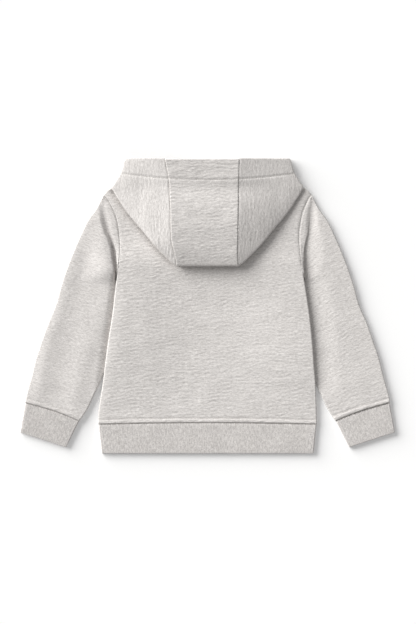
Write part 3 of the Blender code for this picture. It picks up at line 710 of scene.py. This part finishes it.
def sleeve_plan(along, share, side):
    """A plan point of the sleeve: a patch between the crease, the cuff seam and the two long edges."""
    first = crease_point(0.0, side)
    last = crease_point(1.0, side)
    inner_y = blend(first[1], CUFF_SEAM_INNER[1], along)
    outer_y = blend(last[1], CUFF_SEAM_OUTER[1], along)
    inner = (read(SLEEVE_INNER, inner_y, column_of(side)), inner_y)
    ends = between(crease_point(share, side), cuff_line(share, SEAM_GAP / 2), along)
    edges = between(inner, (read(SLEEVE_OUTER, outer_y), outer_y), share)
    corners = between(between(first, last, share), between(CUFF_SEAM_INNER, CUFF_SEAM_OUTER, share), along)
    return tuple(end + edge - corner for end, edge, corner in zip(ends, edges, corners))


def trough(share, side):
    """The crease on one side: its height, its floor, the width of the sleeve's rise, and its steepness."""
    first = 1 if side < 0 else 5
    return [read(TROUGH, share, column) for column in range(first, first + 4)]


def sleeve_fold(along, share, side):
    """The height that the sleeve's lengthwise folds add."""
    there = soft_step(0.0, FOLD_START, along) * (1.0 - FOLD_FADE * soft_step(1.0 - FOLD_START, 1.0, along))
    rise = 0.0
    for fold_side, shoulder, halfway, cuff_end, width, height in SLEEVE_FOLDS:
        if fold_side == side:
            pull = 2.0 * halfway - (shoulder + cuff_end) / 2.0
            place = blend(blend(shoulder, pull, along), blend(pull, cuff_end, along), along)
            rise = rise + height * there * valley(share - place, width)
    return rise


def sleeve_top(point, along, share, side):
    """The height of the sleeve's upper side, which falls into the crease and is held down by the body."""
    x, y = point
    up = np.clip((y - CREASE[0][0]) / (CREASE[-1][0] - CREASE[0][0]), 0.0, 1.0)
    run = x - read(CREASE, y, column_of(side))
    bottom, flat, climb, steep = trough(up, side)
    steep = steep * (1.0 if side < 0 else RIGHT_SOFTER)
    beyond = np.maximum(run - flat, 0.0)
    risen = blend(soft_step(flat, flat + climb, run), bulge(beyond, climb), steep)
    level = SLEEVE_HIGH + sleeve_fold(along, share, side)
    outside = x - body_half(y, side) - TUCK_CLEAR
    if side < 0:
        risen = blend(risen, bulge(beyond, climb + WALL_SHOULDER_REACH), WALL_SHOULDER * steep)
        outer = rounded(read(SLEEVE_OUTER, y) - x, OUTER_ROUND_REACH)
        level = level - OUTER_ROUND * outer * soft_fall(1.0 - FOLD_START, 1.0, along)
        crest = CREST * (1.0 - up) * risen * soft_fall(*CREST_ACROSS, run) * soft_step(*CREST_DOWN, y)
        pressed = rounded(outside, TUCK_PRESS_LEFT)
    else:
        crest = 0.0
        pressed = soft_fall(0.0, TUCK_PRESS_RIGHT, outside)
    pressed = pressed * window(PRESS_BOTTOM, PRESS_TOP, y)
    held = blend(level, TUCKED_HIGH, pressed) + crest * (1.0 - pressed)
    return np.minimum(blend(bottom, level, risen) + crest, held)


def strip_places(length, share, side):
    """Distances from the crease of every ring, and each ring's distance in the full strip's measure."""
    full = CREASE_RINGS[-1]
    steep = trough(share, side)[-1]
    wide = blend(STRIP_SOFTER, 1.0, steep)
    scale = np.minimum(length / (full * wide + SEAM_RINGS[-1]), 1.0)
    places = []
    for ring in CREASE_RINGS:
        over = STRIP_OVERHANG * steep * window((0.0, OVERHANG_RING), (OVERHANG_RING, full), ring)
        places.append((ring * wide * scale - over, ring))
    high = length - SEAM_RINGS[-1] * scale
    places += [(blend(full * wide * scale, high, part), full) for part in MIDDLE_RINGS]
    places += [(length - ring * scale, full) for ring in reversed(SEAM_RINGS)]
    return places


def strip_ring(side, index, shares, faces):
    """A ring of the sleeve between the crease and the armhole, and its grain."""
    measure = strip_places(1.0, 0.0, side)[index][1]

    def ends(share):
        """Where the strip starts and ends, its length, and the share of it where the ring lies."""
        crease = crease_point(share, side)
        seam = seam_point(share, side)
        length = distance(seam, crease)
        return crease, seam, length, strip_places(length, share, side)[index][0] / length

    def plan(share, inset=0.0):
        crease, seam, length, way = ends(share)
        inset = inset * np.minimum(length / WALL_LEAST, 1.0)
        return between(crease, seam, np.minimum(way + inset / length, 1.0))

    def inner_plan(share):
        """The inner side of the steep wall lies in from it by the cloth's thickness."""
        return plan(share, CLOTH * soft_fall(*WALL_TURN, measure))

    _, (x, y), length, way = ends(shares)
    lifted = lift(side * x, y)
    bottom, _, _, steep = trough(shares, side)
    risen = blend(soft_step(0.0, CREASE_RINGS[-1], measure), read(STRIP_RISE, measure), steep)
    low = lifted * soft_step(0.0, 1.0, way)
    high = blend(bottom, BODY_HIGH + lifted, risen)
    u, v = turned(*plan(shares), GRAIN_TURN)
    relief = ripples(SLEEVE_RIPPLES[side], u, v) * (1.0 - valley(way, CALM_CREASE))
    relief = relief - ARMHOLE_SINK * valley(length * (1.0 - way), ARMHOLE_SINK_WIDTH)
    return *tube_ring(plan, low, high, CLOTH, shares, faces, relief, inner_plan), grid(u, v)


def sleeve_ring(side, along, shares, faces):
    """A ring of the sleeve between the crease and the cuff, and its grain."""
    def plan(share):
        return sleeve_plan(along, share, side)

    high = sleeve_top(plan(shares), along, shares, side)
    u, v = turned(*plan(shares), GRAIN_TURN)
    to_cuff = (1.0 - along) * distance(crease_point(shares, side), cuff_line(shares))
    calm = soft_step(0.0, CALM_START, along) * bulge(np.minimum(shares, 1.0 - shares), CALM_SIDE)
    relief = ripples(SLEEVE_RIPPLES[side], u, v) * calm + sewn(to_cuff)
    return *tube_ring(plan, 0.0, high, CLOTH, shares, faces, relief), grid(u, v)


def sleeve(name, side, finish):
    shares, faces = ring_shares(rim_share=0.042, top_count=56, low_count=26)
    count = len(CREASE_RINGS) + len(MIDDLE_RINGS) + len(SEAM_RINGS)
    rings = [strip_ring(side, index, shares, faces) for index in reversed(range(count))]
    length = distance(crease_point(0.5, side), cuff_line(0.5))
    places = spread(SLEEVE_RIMS, length, step=1.75) / length
    rings += [sleeve_ring(side, along, shares, faces) for along in places]
    return tube(name, side, rings, finish)


def tube(name, side, rings, finish):
    """A tube whose rings are worked out for the right side."""
    outer, inner, grain = (np.array(part) for part in zip(*rings))
    mirror = (side, 1.0, 1.0)
    return shell(name, (outer * mirror, inner * mirror, grain), finish, wraps=True, flipped=side > 0)


def rib_ring(line, place, shares, faces, count, width, length):
    """A ring of a doubled rib strip, its folded edge rounded and its ribs a little uneven, and its grain."""
    from_fold = length - place
    pull = RIB_FOLD * (1.0 - bulge(from_fold, RIB_FOLD_REACH))

    def plan(share):
        return between(line(share, False), line(share, True), place / length)

    across = shares * width
    broad, fine, uneven = (size * knit(across, place, *shape) for size, *shape in RIB_NOISES)
    ribs = RIB_RELIEF / 2 * np.cos(2.0 * math.pi * (shares * count + broad + fine))
    relief = ribs * soft_step(0.0, RIB_START, from_fold) - SEAM_SINK * valley(place, SEAM_SINK_WIDTH)
    relief = relief + uneven * soft_step(0.0, RIB_UNEVEN_START, from_fold)
    relief = relief - RIB_FOLD_DIP * valley(from_fold - RIB_FOLD_DIP_PLACE, 1.0)
    thick = RIB_WALL - RIB_RELIEF / 2 - pull * RIB_FOLD_THINNER
    rings = tube_ring(plan, pull, CUFF_HIGH - pull, thick, shares, faces, relief)
    return *rings, grid(across, np.full_like(across, place))


def rib_tube(name, side, line, finish, low_count):
    """A doubled rib strip closed to a tube. line gives its seam, or its folded edge."""
    width = float(distance(line(0.0, False), line(1.0, False)))
    length = float(distance(line(0.5, False), line(0.5, True)))
    count = round(width / RIB_PITCH)
    shares, faces = ring_shares(ROLL / width, count * POINTS_PER_RIB, low_count)
    places = spread(RIB_RIMS, length, step=2.7)
    rings = [rib_ring(line, place, shares, faces, count, width, length) for place in places]
    return tube(name, side, rings, finish)


def cuff(name, side, finish):
    def line(share, is_edge):
        if is_edge:
            return between(CUFF_EDGE_INNER, CUFF_EDGE_OUTER, share)
        return cuff_line(blend(CUFF_INSET, 1.0 - CUFF_INSET, share), -SEAM_GAP / 2)

    return rib_tube(name, side, line, finish, low_count=40)


def hem_band(finish):
    def line(share, is_edge):
        half = HEM_BAND_HALF_EDGE if is_edge else HEM_BAND_HALF_TOP
        x = blend(-half, half, share)
        return x, np.full_like(x, HEM_EDGE) if is_edge else hem_seam(x) - SEAM_GAP / 2

    return rib_tube("hem_band_cloth", 1, line, finish, low_count=80)


# The hood: its upper layer stands over the lower one like a shallow pouch that opens upwards.

def hood_edge(y):
    return read(HOOD_EDGE, y)


def hood_outline():
    """The rolled edge from the top corner on the left round the bottom to the one on the right."""
    heights = np.linspace(HOOD_EDGE[0][0], HOOD_EDGE[-1][0], OUTLINE_STEPS + 1)
    right = grid(hood_edge(heights), heights)
    return np.concatenate([(right * (-1.0, 1.0))[::-1], right])


OUTLINE = hood_outline()


def outline_distance(x, y):
    """Distance from plan points to the hood's outline."""
    points = grid(x.ravel(), y.ravel())
    nearest = np.full(len(points), np.inf)
    for start, end in zip(OUTLINE[:-1], OUTLINE[1:]):
        run = end - start
        share = np.clip(((points - start) @ run) / (run @ run), 0.0, 1.0)
        nearest = np.minimum(nearest, np.hypot(*(points - start - share[:, None] * run).T))
    return nearest.reshape(x.shape)


def from_edge(x, y, *edge_columns):
    """Distance in from the rolled edge, where a hood piece's first row and the given columns lie."""
    inside = outline_distance(x, y)
    inside[0] = 0.0
    inside[:, list(edge_columns)] = 0.0
    return inside


def hood_height(x, y):
    """The height of the hood's upper side before its edge is rounded."""
    left = read(HOOD_CENTRE, y, CENTRE_LEFT)
    right = read(HOOD_CENTRE, y, CENTRE_RIGHT)
    leaning = soft_step(*CENTRE_LEAN_START, y)
    edge = read(HOOD_EDGE, y, EDGE_TOP) + np.where(x < 0, HOOD_LEFT_FULLER * leaning, 0.0)
    leaning = leaning * (1.0 - CENTRE_LEAN_LOST * soft_step(*CENTRE_LEAN_END, y))
    lean = CENTRE_LEAN * leaning * np.clip((x - left) / (right - left), 0.0, 1.0)
    crown = read(HOOD_CENTRE, y, CENTRE_HIGH) - lean
    seam = np.where(x < 0, -left, right)
    share = np.clip((np.abs(x) - seam) / np.maximum(hood_edge(y) - seam, LEAST_RUN), 0.0, 1.0)
    drop = np.where(x < 0, EDGE_DROP_LEFT, EDGE_DROP_RIGHT)
    return blend(crown, edge, blend(share, share ** EDGE_DROP_POWER, drop))


def hood_hem_line(x):
    return HOOD_HEM_LINE + HOOD_HEM_RISE * (x / HOOD_HEM_SPAN) ** 2


def rim_grain(x, y, fall):
    """Plan points moved out by the fall of the rim, so that its steep face doesn't draw the knit out."""
    lean = np.clip(x / HOOD_EDGE[0][1], -1.0, 1.0)
    return grid(x + RIM_TURN * lean * fall, y - RIM_TURN * fall)


def hood_points(x, y, inside, seam_distance, is_centre):
    """The outer and inner grid of a piece of the hood's upper layer, and where its knit lies."""
    middle = read(HOOD_EDGE, y, EDGE_MIDDLE) + GAP / 2
    above_hem = y - hood_hem_line(x)
    top = hood_height(x, y)
    if is_centre:
        fine = ripples(HOOD_CENTRE_RIPPLES, x, y)
        seam = CENTRE_PROUD * bulge(seam_distance, CENTRE_ROUND)
    else:
        fine = ripples(HOOD_SIDE_RIPPLES, y, x)
        seam = -SIDE_SINK * valley(seam_distance, SIDE_SINK_WIDTH)
    relief = (fine + folds(x, y, HOOD_FOLDS)) * soft_step(*CALM_EDGE, inside) + seam
    relief = relief - HOOD_HEM_SINK * valley(above_hem, HOOD_HEM_SINK_WIDTH)
    rim = bulge(inside, RIM_REACH)
    outer = blend(middle, top, rim) + relief * rim
    thick = blend(CLOTH, TURNED_HEM, soft_step(0.0, HEM_TURN, above_hem))
    inner = blend(middle, top - thick, bulge(inside - CLOTH, RIM_INNER_REACH))
    inner = np.minimum(inner, outer - LEAST_CLOTH * bulge(inside, 1.0))
    return grid(x, y, outer), grid(x, y, inner), rim_grain(x, y, (top - middle) * (1.0 - rim))


def hood_rows(top, step):
    """Heights of a hood piece's rows, finer at the bottom edge."""
    start = [HOOD_EDGE[0][0] + rim for rim in HOOD_BOTTOM_RIMS]
    count = int(round((top - start[-1]) / step))
    return np.append(start[:-1], np.linspace(start[-1], top, count + 1))


def hood_centre(finish):
    levels = hood_rows(HOOD_EDGE[-1][0], HOOD_STEP)
    dip = HOOD_MOUTH_DIP * np.maximum(levels - HOOD_HEM_LINE, 0.0) / (HOOD_EDGE[-1][0] - HOOD_HEM_LINE)
    y = (levels - dip)[:, None]
    left = read(HOOD_CENTRE, y, CENTRE_LEFT) + SEAM_GAP / 2
    right = read(HOOD_CENTRE, y, CENTRE_RIGHT) - SEAM_GAP / 2
    x = blend(left, right, spread(HOOD_SEAM_RIMS, HOOD_CENTRE_WIDE, step=1.9) / HOOD_CENTRE_WIDE)
    y = np.broadcast_to(y, x.shape)
    grids = hood_points(x, y, from_edge(x, y), np.minimum(x - left, right - x), True)
    return shell("hood_centre_cloth", grids, finish)


def hood_side(name, side, finish):
    levels = hood_rows(HOOD_EDGE[-1][0], HOOD_STEP)[:, None]
    seam = np.abs(read(HOOD_CENTRE, levels, column_of(side))) + SEAM_GAP / 2
    shares = spread(HOOD_SIDE_RIMS, HOOD_SIDE_WIDE, step=1.7) / HOOD_SIDE_WIDE
    x = blend(seam, np.maximum(hood_edge(levels), seam), shares)
    y = np.broadcast_to(levels, x.shape)
    outer, inner, grain = hood_points(side * x, y, from_edge(x, y, -1), x - seam, False)
    return shell(name, (outer, inner, grain[..., ::-1]), finish, flipped=side < 0)


def hood_lower(finish):
    """The hidden layer that lies on the back, turned up round its edge to the fold."""
    edge_y = hood_rows(LOWER_TOP, step=2.6)[:, None]
    half = hood_edge(edge_y)
    rims = np.array(HOOD_SIDE_RIMS)
    shares = np.linspace(0.0, 1.0, LOWER_COLUMNS)[1:-1]
    x = np.hstack([rims - half, blend(rims[-1] - half, half - rims[-1], shares), half - rims[::-1]])
    top_x = np.abs(x) * hood_edge(LOWER_TOP) / half
    neck_y = back_neck(top_x) - HOOD_SHOULDER_CLEAR * soft_step(0.0, NECK_HALF, top_x)
    neck_y = np.where(top_x < NECK_HALF, neck_y, shoulder_line(top_x) - HOOD_SHOULDER_CLEAR)
    low = HOOD_EDGE[0][0]
    y = blend(low, np.maximum(neck_y, LOWER_TOP), (edge_y - low) / (LOWER_TOP - low))
    inside = from_edge(x, y, 0, -1)
    rest = BODY_HIGH + lift(x, y) + HOOD_REST
    middle = read(HOOD_EDGE, edge_y, EDGE_MIDDLE) - GAP / 2
    reach = read(HOOD_EDGE, edge_y, EDGE_REACH)
    outer = blend(middle, rest, bulge(inside, reach))
    inner = blend(middle, rest + CLOTH, bulge(inside - CLOTH, reach - CLOTH))
    inner = inner + ripples(LOWER_RIPPLES, x, y) * soft_step(*CALM_EDGE, inside)
    grids = (grid(x, y, outer), grid(x, y, inner), rim_grain(x, y, outer - middle))
    return shell("hood_lower_cloth", grids, finish, flipped=True)


def front_line(x):
    """Where the hood's hidden front starts: along the front neck and in front of the shoulder."""
    return np.where(x < NECK_HALF, front_neck(x), shoulder_line(x)) + FRONT_SEAM_GAP


def hood_front(name, side, finish):
    """The hidden front of the hood, flat below it, from the front neck to the mouth's corner."""
    steps = np.linspace(0.0, 1.0, num=26)
    beyond = np.linspace(NECK_HALF, FRONT_LAST_X, num=24)[1:]
    low_x = np.append(np.linspace(FRONT_CENTRE_GAP, NECK_HALF, num=30), beyond)[:, None]
    high_x = np.maximum(low_x * MOUTH_LEAN, FRONT_CENTRE_GAP)
    x, y = between((low_x, front_line(low_x)), (high_x, read(MOUTH_FRONT, high_x)), steps)
    insets = np.array(RIMS[::-1])[:, None]
    edge_y = blend(front_line(FRONT_EDGE_X - insets) + GAP, HOOD_EDGE[-1][0], steps)
    x = side * np.vstack([x, hood_edge(edge_y) - insets])
    y = np.vstack([y, edge_y])
    inside = np.vstack([np.full_like(low_x, ROLL), insets])
    middle = read(HOOD_EDGE, y, EDGE_MIDDLE) - GAP / 2
    outer = grid(x, y, blend(middle, 0.0, bulge(inside, ROLL)))
    inner = grid(x, y, blend(middle, CLOTH, bulge(inside - CLOTH, ROLL - CLOTH)))
    return shell(name, (outer, inner, grid(y, x)), finish, flipped=side < 0)


# Sewing.

def capsule():
    """The points and faces of a small rounded stitch of unit length, width and height."""
    turns = 2.0 * math.pi * np.arange(STITCH_SIDES) / STITCH_SIDES
    points = [(-0.5, 0.0, 0.0)]
    for place, size in STITCH_RINGS:
        points += [(place, size * math.cos(turn) / 2, size * math.sin(turn) / 2) for turn in turns]
    points.append((0.5, 0.0, 0.0))
    end = len(points) - 1
    last = end - STITCH_SIDES - 1
    faces = []
    for step in range(STITCH_SIDES):
        here = 1 + step
        after = 1 + (step + 1) % STITCH_SIDES
        faces.append((0, after, here))
        for base in range(0, last, STITCH_SIDES):
            faces.append((base + here, base + after, base + STITCH_SIDES + after, base + STITCH_SIDES + here))
        faces.append((last + here, last + after, end))
    return np.array(points), faces


def stitch_ends(line):
    """Plan points where the stitches along a line start, and where they end."""
    runs = np.append(0.0, np.cumsum(np.hypot(*np.diff(line))))
    count = int(runs[-1] // STITCH_STEP)
    middles = (np.arange(count) + 0.5) * STITCH_STEP + (runs[-1] - count * STITCH_STEP) / 2
    return [grid(*(np.interp(middles + reach, runs, axis) for axis in line))
            for reach in (-STITCH_LENGTH / 2, STITCH_LENGTH / 2)]


def stitch_row(name, line, ground, finish):
    """Stitches along a plan line, laid on the pieces below it. A stitch that finds no cloth is left out."""
    template, template_faces = capsule()
    trees = [BVHTree.FromPolygons(
        [vert.co[:] for vert in piece.data.vertices], [face.vertices[:] for face in piece.data.polygons]
    ) for piece in ground]

    def height(x, y):
        found = [tree.ray_cast((x * MM, y * MM, RAY_START), (0.0, 0.0, -1.0))[0] for tree in trees]
        return max([hit.z / MM for hit in found if hit is not None], default=None)

    points = []
    faces = []
    for ends in zip(*stitch_ends(line)):
        heights = [height(*place) for place in ends]
        if None in heights:
            continue
        start, end = (np.array([*place, high]) for place, high in zip(ends, heights))
        length = np.linalg.norm(end - start)
        if length > STITCH_LONGEST:
            continue
        forward = (end - start) / length
        sideways = np.cross((0.0, 0.0, 1.0), forward)
        sideways = sideways / np.linalg.norm(sideways)
        up = np.cross(forward, sideways)
        shape = template * (length, STITCH_WIDTH, STITCH_HIGH)
        first = len(points) * len(template)
        points.append((start + end) / 2 + up * STITCH_RAISED + shape @ np.array([forward, sideways, up]))
        faces += [tuple(corner + first for corner in face) for face in template_faces]
    mesh = bpy.data.meshes.new(name)
    mesh.from_pydata((np.concatenate(points) * MM).tolist(), [], faces)
    mesh.shade_smooth()
    placed(name, mesh, finish)


def above_seam(seam, half, count, above=0.0):
    """A line across the garment at a distance above a seam."""
    x = np.linspace(-half, half, count)
    return x, seam(x) + above


# Materials.

class Nodes:
    """A short way to add nodes and join them."""

    def __init__(self, name):
        self.material = bpy.data.materials.new(name)
        self.material.use_nodes = True
        self.tree = self.material.node_tree

    def add(self, kind, output, inputs=None, **settings):
        """One output of a new node."""
        node = self.tree.nodes.new(kind)
        for key, value in settings.items():
            setattr(node, key, value)
        self.set(node, inputs or {})
        return node.outputs[output]

    def set(self, node, inputs):
        for key, value in inputs.items():
            if isinstance(value, bpy.types.NodeSocket):
                self.tree.links.new(value, node.inputs[key])
            else:
                node.inputs[key].default_value = value

    def shaded(self, inputs):
        """The material, with its shader's inputs set."""
        self.set(self.tree.nodes["Principled BSDF"], inputs)
        return self.material

    def noise(self, vector, detail=1.0, roughness=0.55, output="Fac"):
        inputs = {"Vector": vector, "Scale": 1.0, "Detail": detail, "Roughness": roughness}
        return self.add("ShaderNodeTexNoise", output, inputs)

    def mix(self, share, dark, light):
        """A colour between two, by their sockets' numbers."""
        return self.add("ShaderNodeMix", 2, {0: share, 6: (*dark, 1.0), 7: (*light, 1.0)}, data_type="RGBA")

    def scaled(self, vector, *lengths):
        """Coordinates scaled so that one unit is so many millimetres along each axis."""
        scale = [1.0 / (length * MM) for length in lengths]
        return self.add("ShaderNodeMapping", "Vector", {"Vector": vector, "Scale": scale})

    def weighted(self, values, weights):
        """The sum of values times their weights."""
        total = 0.0
        for value, weight in zip(values, weights):
            inputs = {0: value, 1: weight, 2: total}
            total = self.add("ShaderNodeMath", 0, inputs, operation="MULTIPLY_ADD")
        return total


def heather(name, dark, light, yarn, span, relief, roughness):
    """Melange knit: dark and light yarn mixed by stretched noises, which are its relief as well."""
    nodes = Nodes(name)
    grain = nodes.add("ShaderNodeUVMap", "UV", uv_map="grain")
    wander = nodes.noise(nodes.scaled(grain, *YARN_WANDER_SIZE), 0.0, 0.5, "Color")
    inputs = {0: wander, 1: (0.0, YARN_WANDER * MM, 0.0), 2: grain}
    grain = nodes.add("ShaderNodeVectorMath", "Vector", inputs, operation="MULTIPLY_ADD")
    longs, wides, colour_weights, relief_weights = zip(*yarn)
    noises = [nodes.noise(nodes.scaled(grain, long, wide, 1000.0)) for long, wide in zip(longs, wides)]
    mixed = nodes.weighted(noises, colour_weights)
    inputs = {"Value": mixed, "From Min": span[0], "From Max": span[1]}
    share = nodes.add("ShaderNodeMapRange", "Result", inputs)
    height = nodes.weighted(noises, relief_weights)
    inputs = {"Height": height, "Strength": 1.0, "Distance": relief * MM}
    return nodes.shaded({
        "Base Color": nodes.mix(share, dark, light),
        "Normal": nodes.add("ShaderNodeBump", "Normal", inputs),
        "Roughness": roughness,
        "Specular IOR Level": 0.2,
        "Sheen Weight": 0.1,
        "Sheen Roughness": 0.6,
        "Sheen Tint": (1.0, 0.98, 0.96, 1.0),
    })


def thread(name):
    nodes = Nodes(name)
    place = nodes.add("ShaderNodeTexCoord", "Object")
    value = nodes.noise(nodes.scaled(place, 0.4, 0.4, 0.4))
    colour = nodes.mix(value, (0.50, 0.48, 0.46), (0.62, 0.60, 0.58))
    return nodes.shaded({"Base Color": colour, "Roughness": 0.6})


def paper(name):
    nodes = Nodes(name)
    value = nodes.noise(nodes.add("ShaderNodeTexCoord", "Object"))
    inputs = {"Value": value, "To Min": FLOOR_TONE[0], "To Max": FLOOR_TONE[1]}
    share = nodes.add("ShaderNodeMapRange", "Result", inputs)
    return nodes.shaded({
        "Base Color": nodes.add("ShaderNodeCombineColor", 0, {0: share, 1: share, 2: share}),
        "Roughness": 0.9,
        "Specular IOR Level": 0.1,
        "Emission Color": WHITE,
        "Emission Strength": FLOOR_GLOW,
    })


# Surroundings.

def surroundings():
    scene = bpy.context.scene
    scene.world = bpy.data.worlds.new("studio")
    scene.world.use_nodes = True
    sky = scene.world.node_tree.nodes["Background"].inputs
    sky["Color"].default_value = WHITE
    sky["Strength"].default_value = SKY_STRENGTH
    lamp = bpy.data.lights.new("key", "SUN")
    lamp.energy = KEY_STRENGTH
    lamp.angle = math.radians(KEY_SOFTNESS)
    lamp.color = (1.0, 0.995, 0.985)
    key = bpy.data.objects.new("key", lamp)
    key.rotation_euler = (0.0, math.radians(90.0 - KEY_ELEVATION), math.radians(KEY_AZIMUTH))
    scene.collection.objects.link(key)
    bpy.ops.mesh.primitive_plane_add(size=FLOOR_SIZE, location=(0.0, 0.0, -FLOOR_DEPTH * MM))
    floor = bpy.context.object
    floor.name = "floor"
    floor.data.materials.append(paper("paper"))
    camera_data = bpy.data.cameras.new("camera")
    camera_data.lens = LENS
    camera_data.sensor_fit = "VERTICAL"
    camera_data.sensor_height = SENSOR
    camera_data.clip_end = CLIP_END
    camera = bpy.data.objects.new("camera", camera_data)
    far = LENS / SENSOR * FRAME_HIGH_PIXELS * MM_PER_PIXEL
    camera.location = (VIEW_X * MM, VIEW_Y * MM, far * MM)
    scene.collection.objects.link(camera)
    scene.camera = camera
    scene.view_settings.view_transform = "Standard"
    scene.view_settings.look = "None"


def cut(piece):
    """Hides the CAD node that a piece stands for."""
    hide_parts(piece.name.removesuffix("_cloth"))
    return piece


def main():
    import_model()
    surroundings()
    fleece = heather("fleece", dark=(0.49, 0.468, 0.452), light=(0.79, 0.76, 0.738), yarn=FLEECE_YARN,
                     span=(0.37, 0.63), relief=0.6, roughness=0.92)
    rib = heather("rib", dark=(0.47, 0.447, 0.432), light=(0.735, 0.707, 0.686), yarn=RIB_YARN,
                  span=(0.385, 0.615), relief=0.5, roughness=0.95)
    sewing = thread("thread")
    back = body_panel("back_panel_cloth", True, fleece, column_step=2.2, row_step=1.5)
    front = body_panel("front_panel_cloth", False, fleece, column_step=5.5, row_step=5.0)
    cut(back)
    cut(front)
    sleeves = {}
    for word, side in SIDES:
        sleeves[side] = sleeve(f"sleeve_{word}_cloth", side, fleece)
        cut(sleeves[side])
        cut(cuff(f"cuff_{word}_cloth", side, rib))
    cut(hem_band(rib))
    uppers = [cut(hood_centre(fleece))]
    cut(hood_lower(fleece))
    for word, side in SIDES:
        upper = hood_side(f"hood_side_{word}_cloth", side, fleece)
        uppers.append(cut(upper))
        cut(hood_front(f"hood_front_{word}_cloth", side, fleece))
    stitch_row("hood_hem_stitches", above_seam(hood_hem_line, half=134.0, count=120), uppers, sewing)
    stitch_row("hem_stitches", above_seam(hem_seam, half=165.5, count=100, above=TOPSTITCH), [back], sewing)
    for word, side in SIDES:
        x, y = cuff_line(np.linspace(0.05, 0.95, num=40), TOPSTITCH)
        stitch_row(f"cuff_{word}_stitches", (side * x, y), [sleeves[side]], sewing)
        x, y = beside_armhole(np.linspace(60.0, 168.0, num=90), side, -ARMHOLE_STITCH)
        stitch_row(f"armhole_{word}_stitches", (side * x, y), [back], sewing)


main()
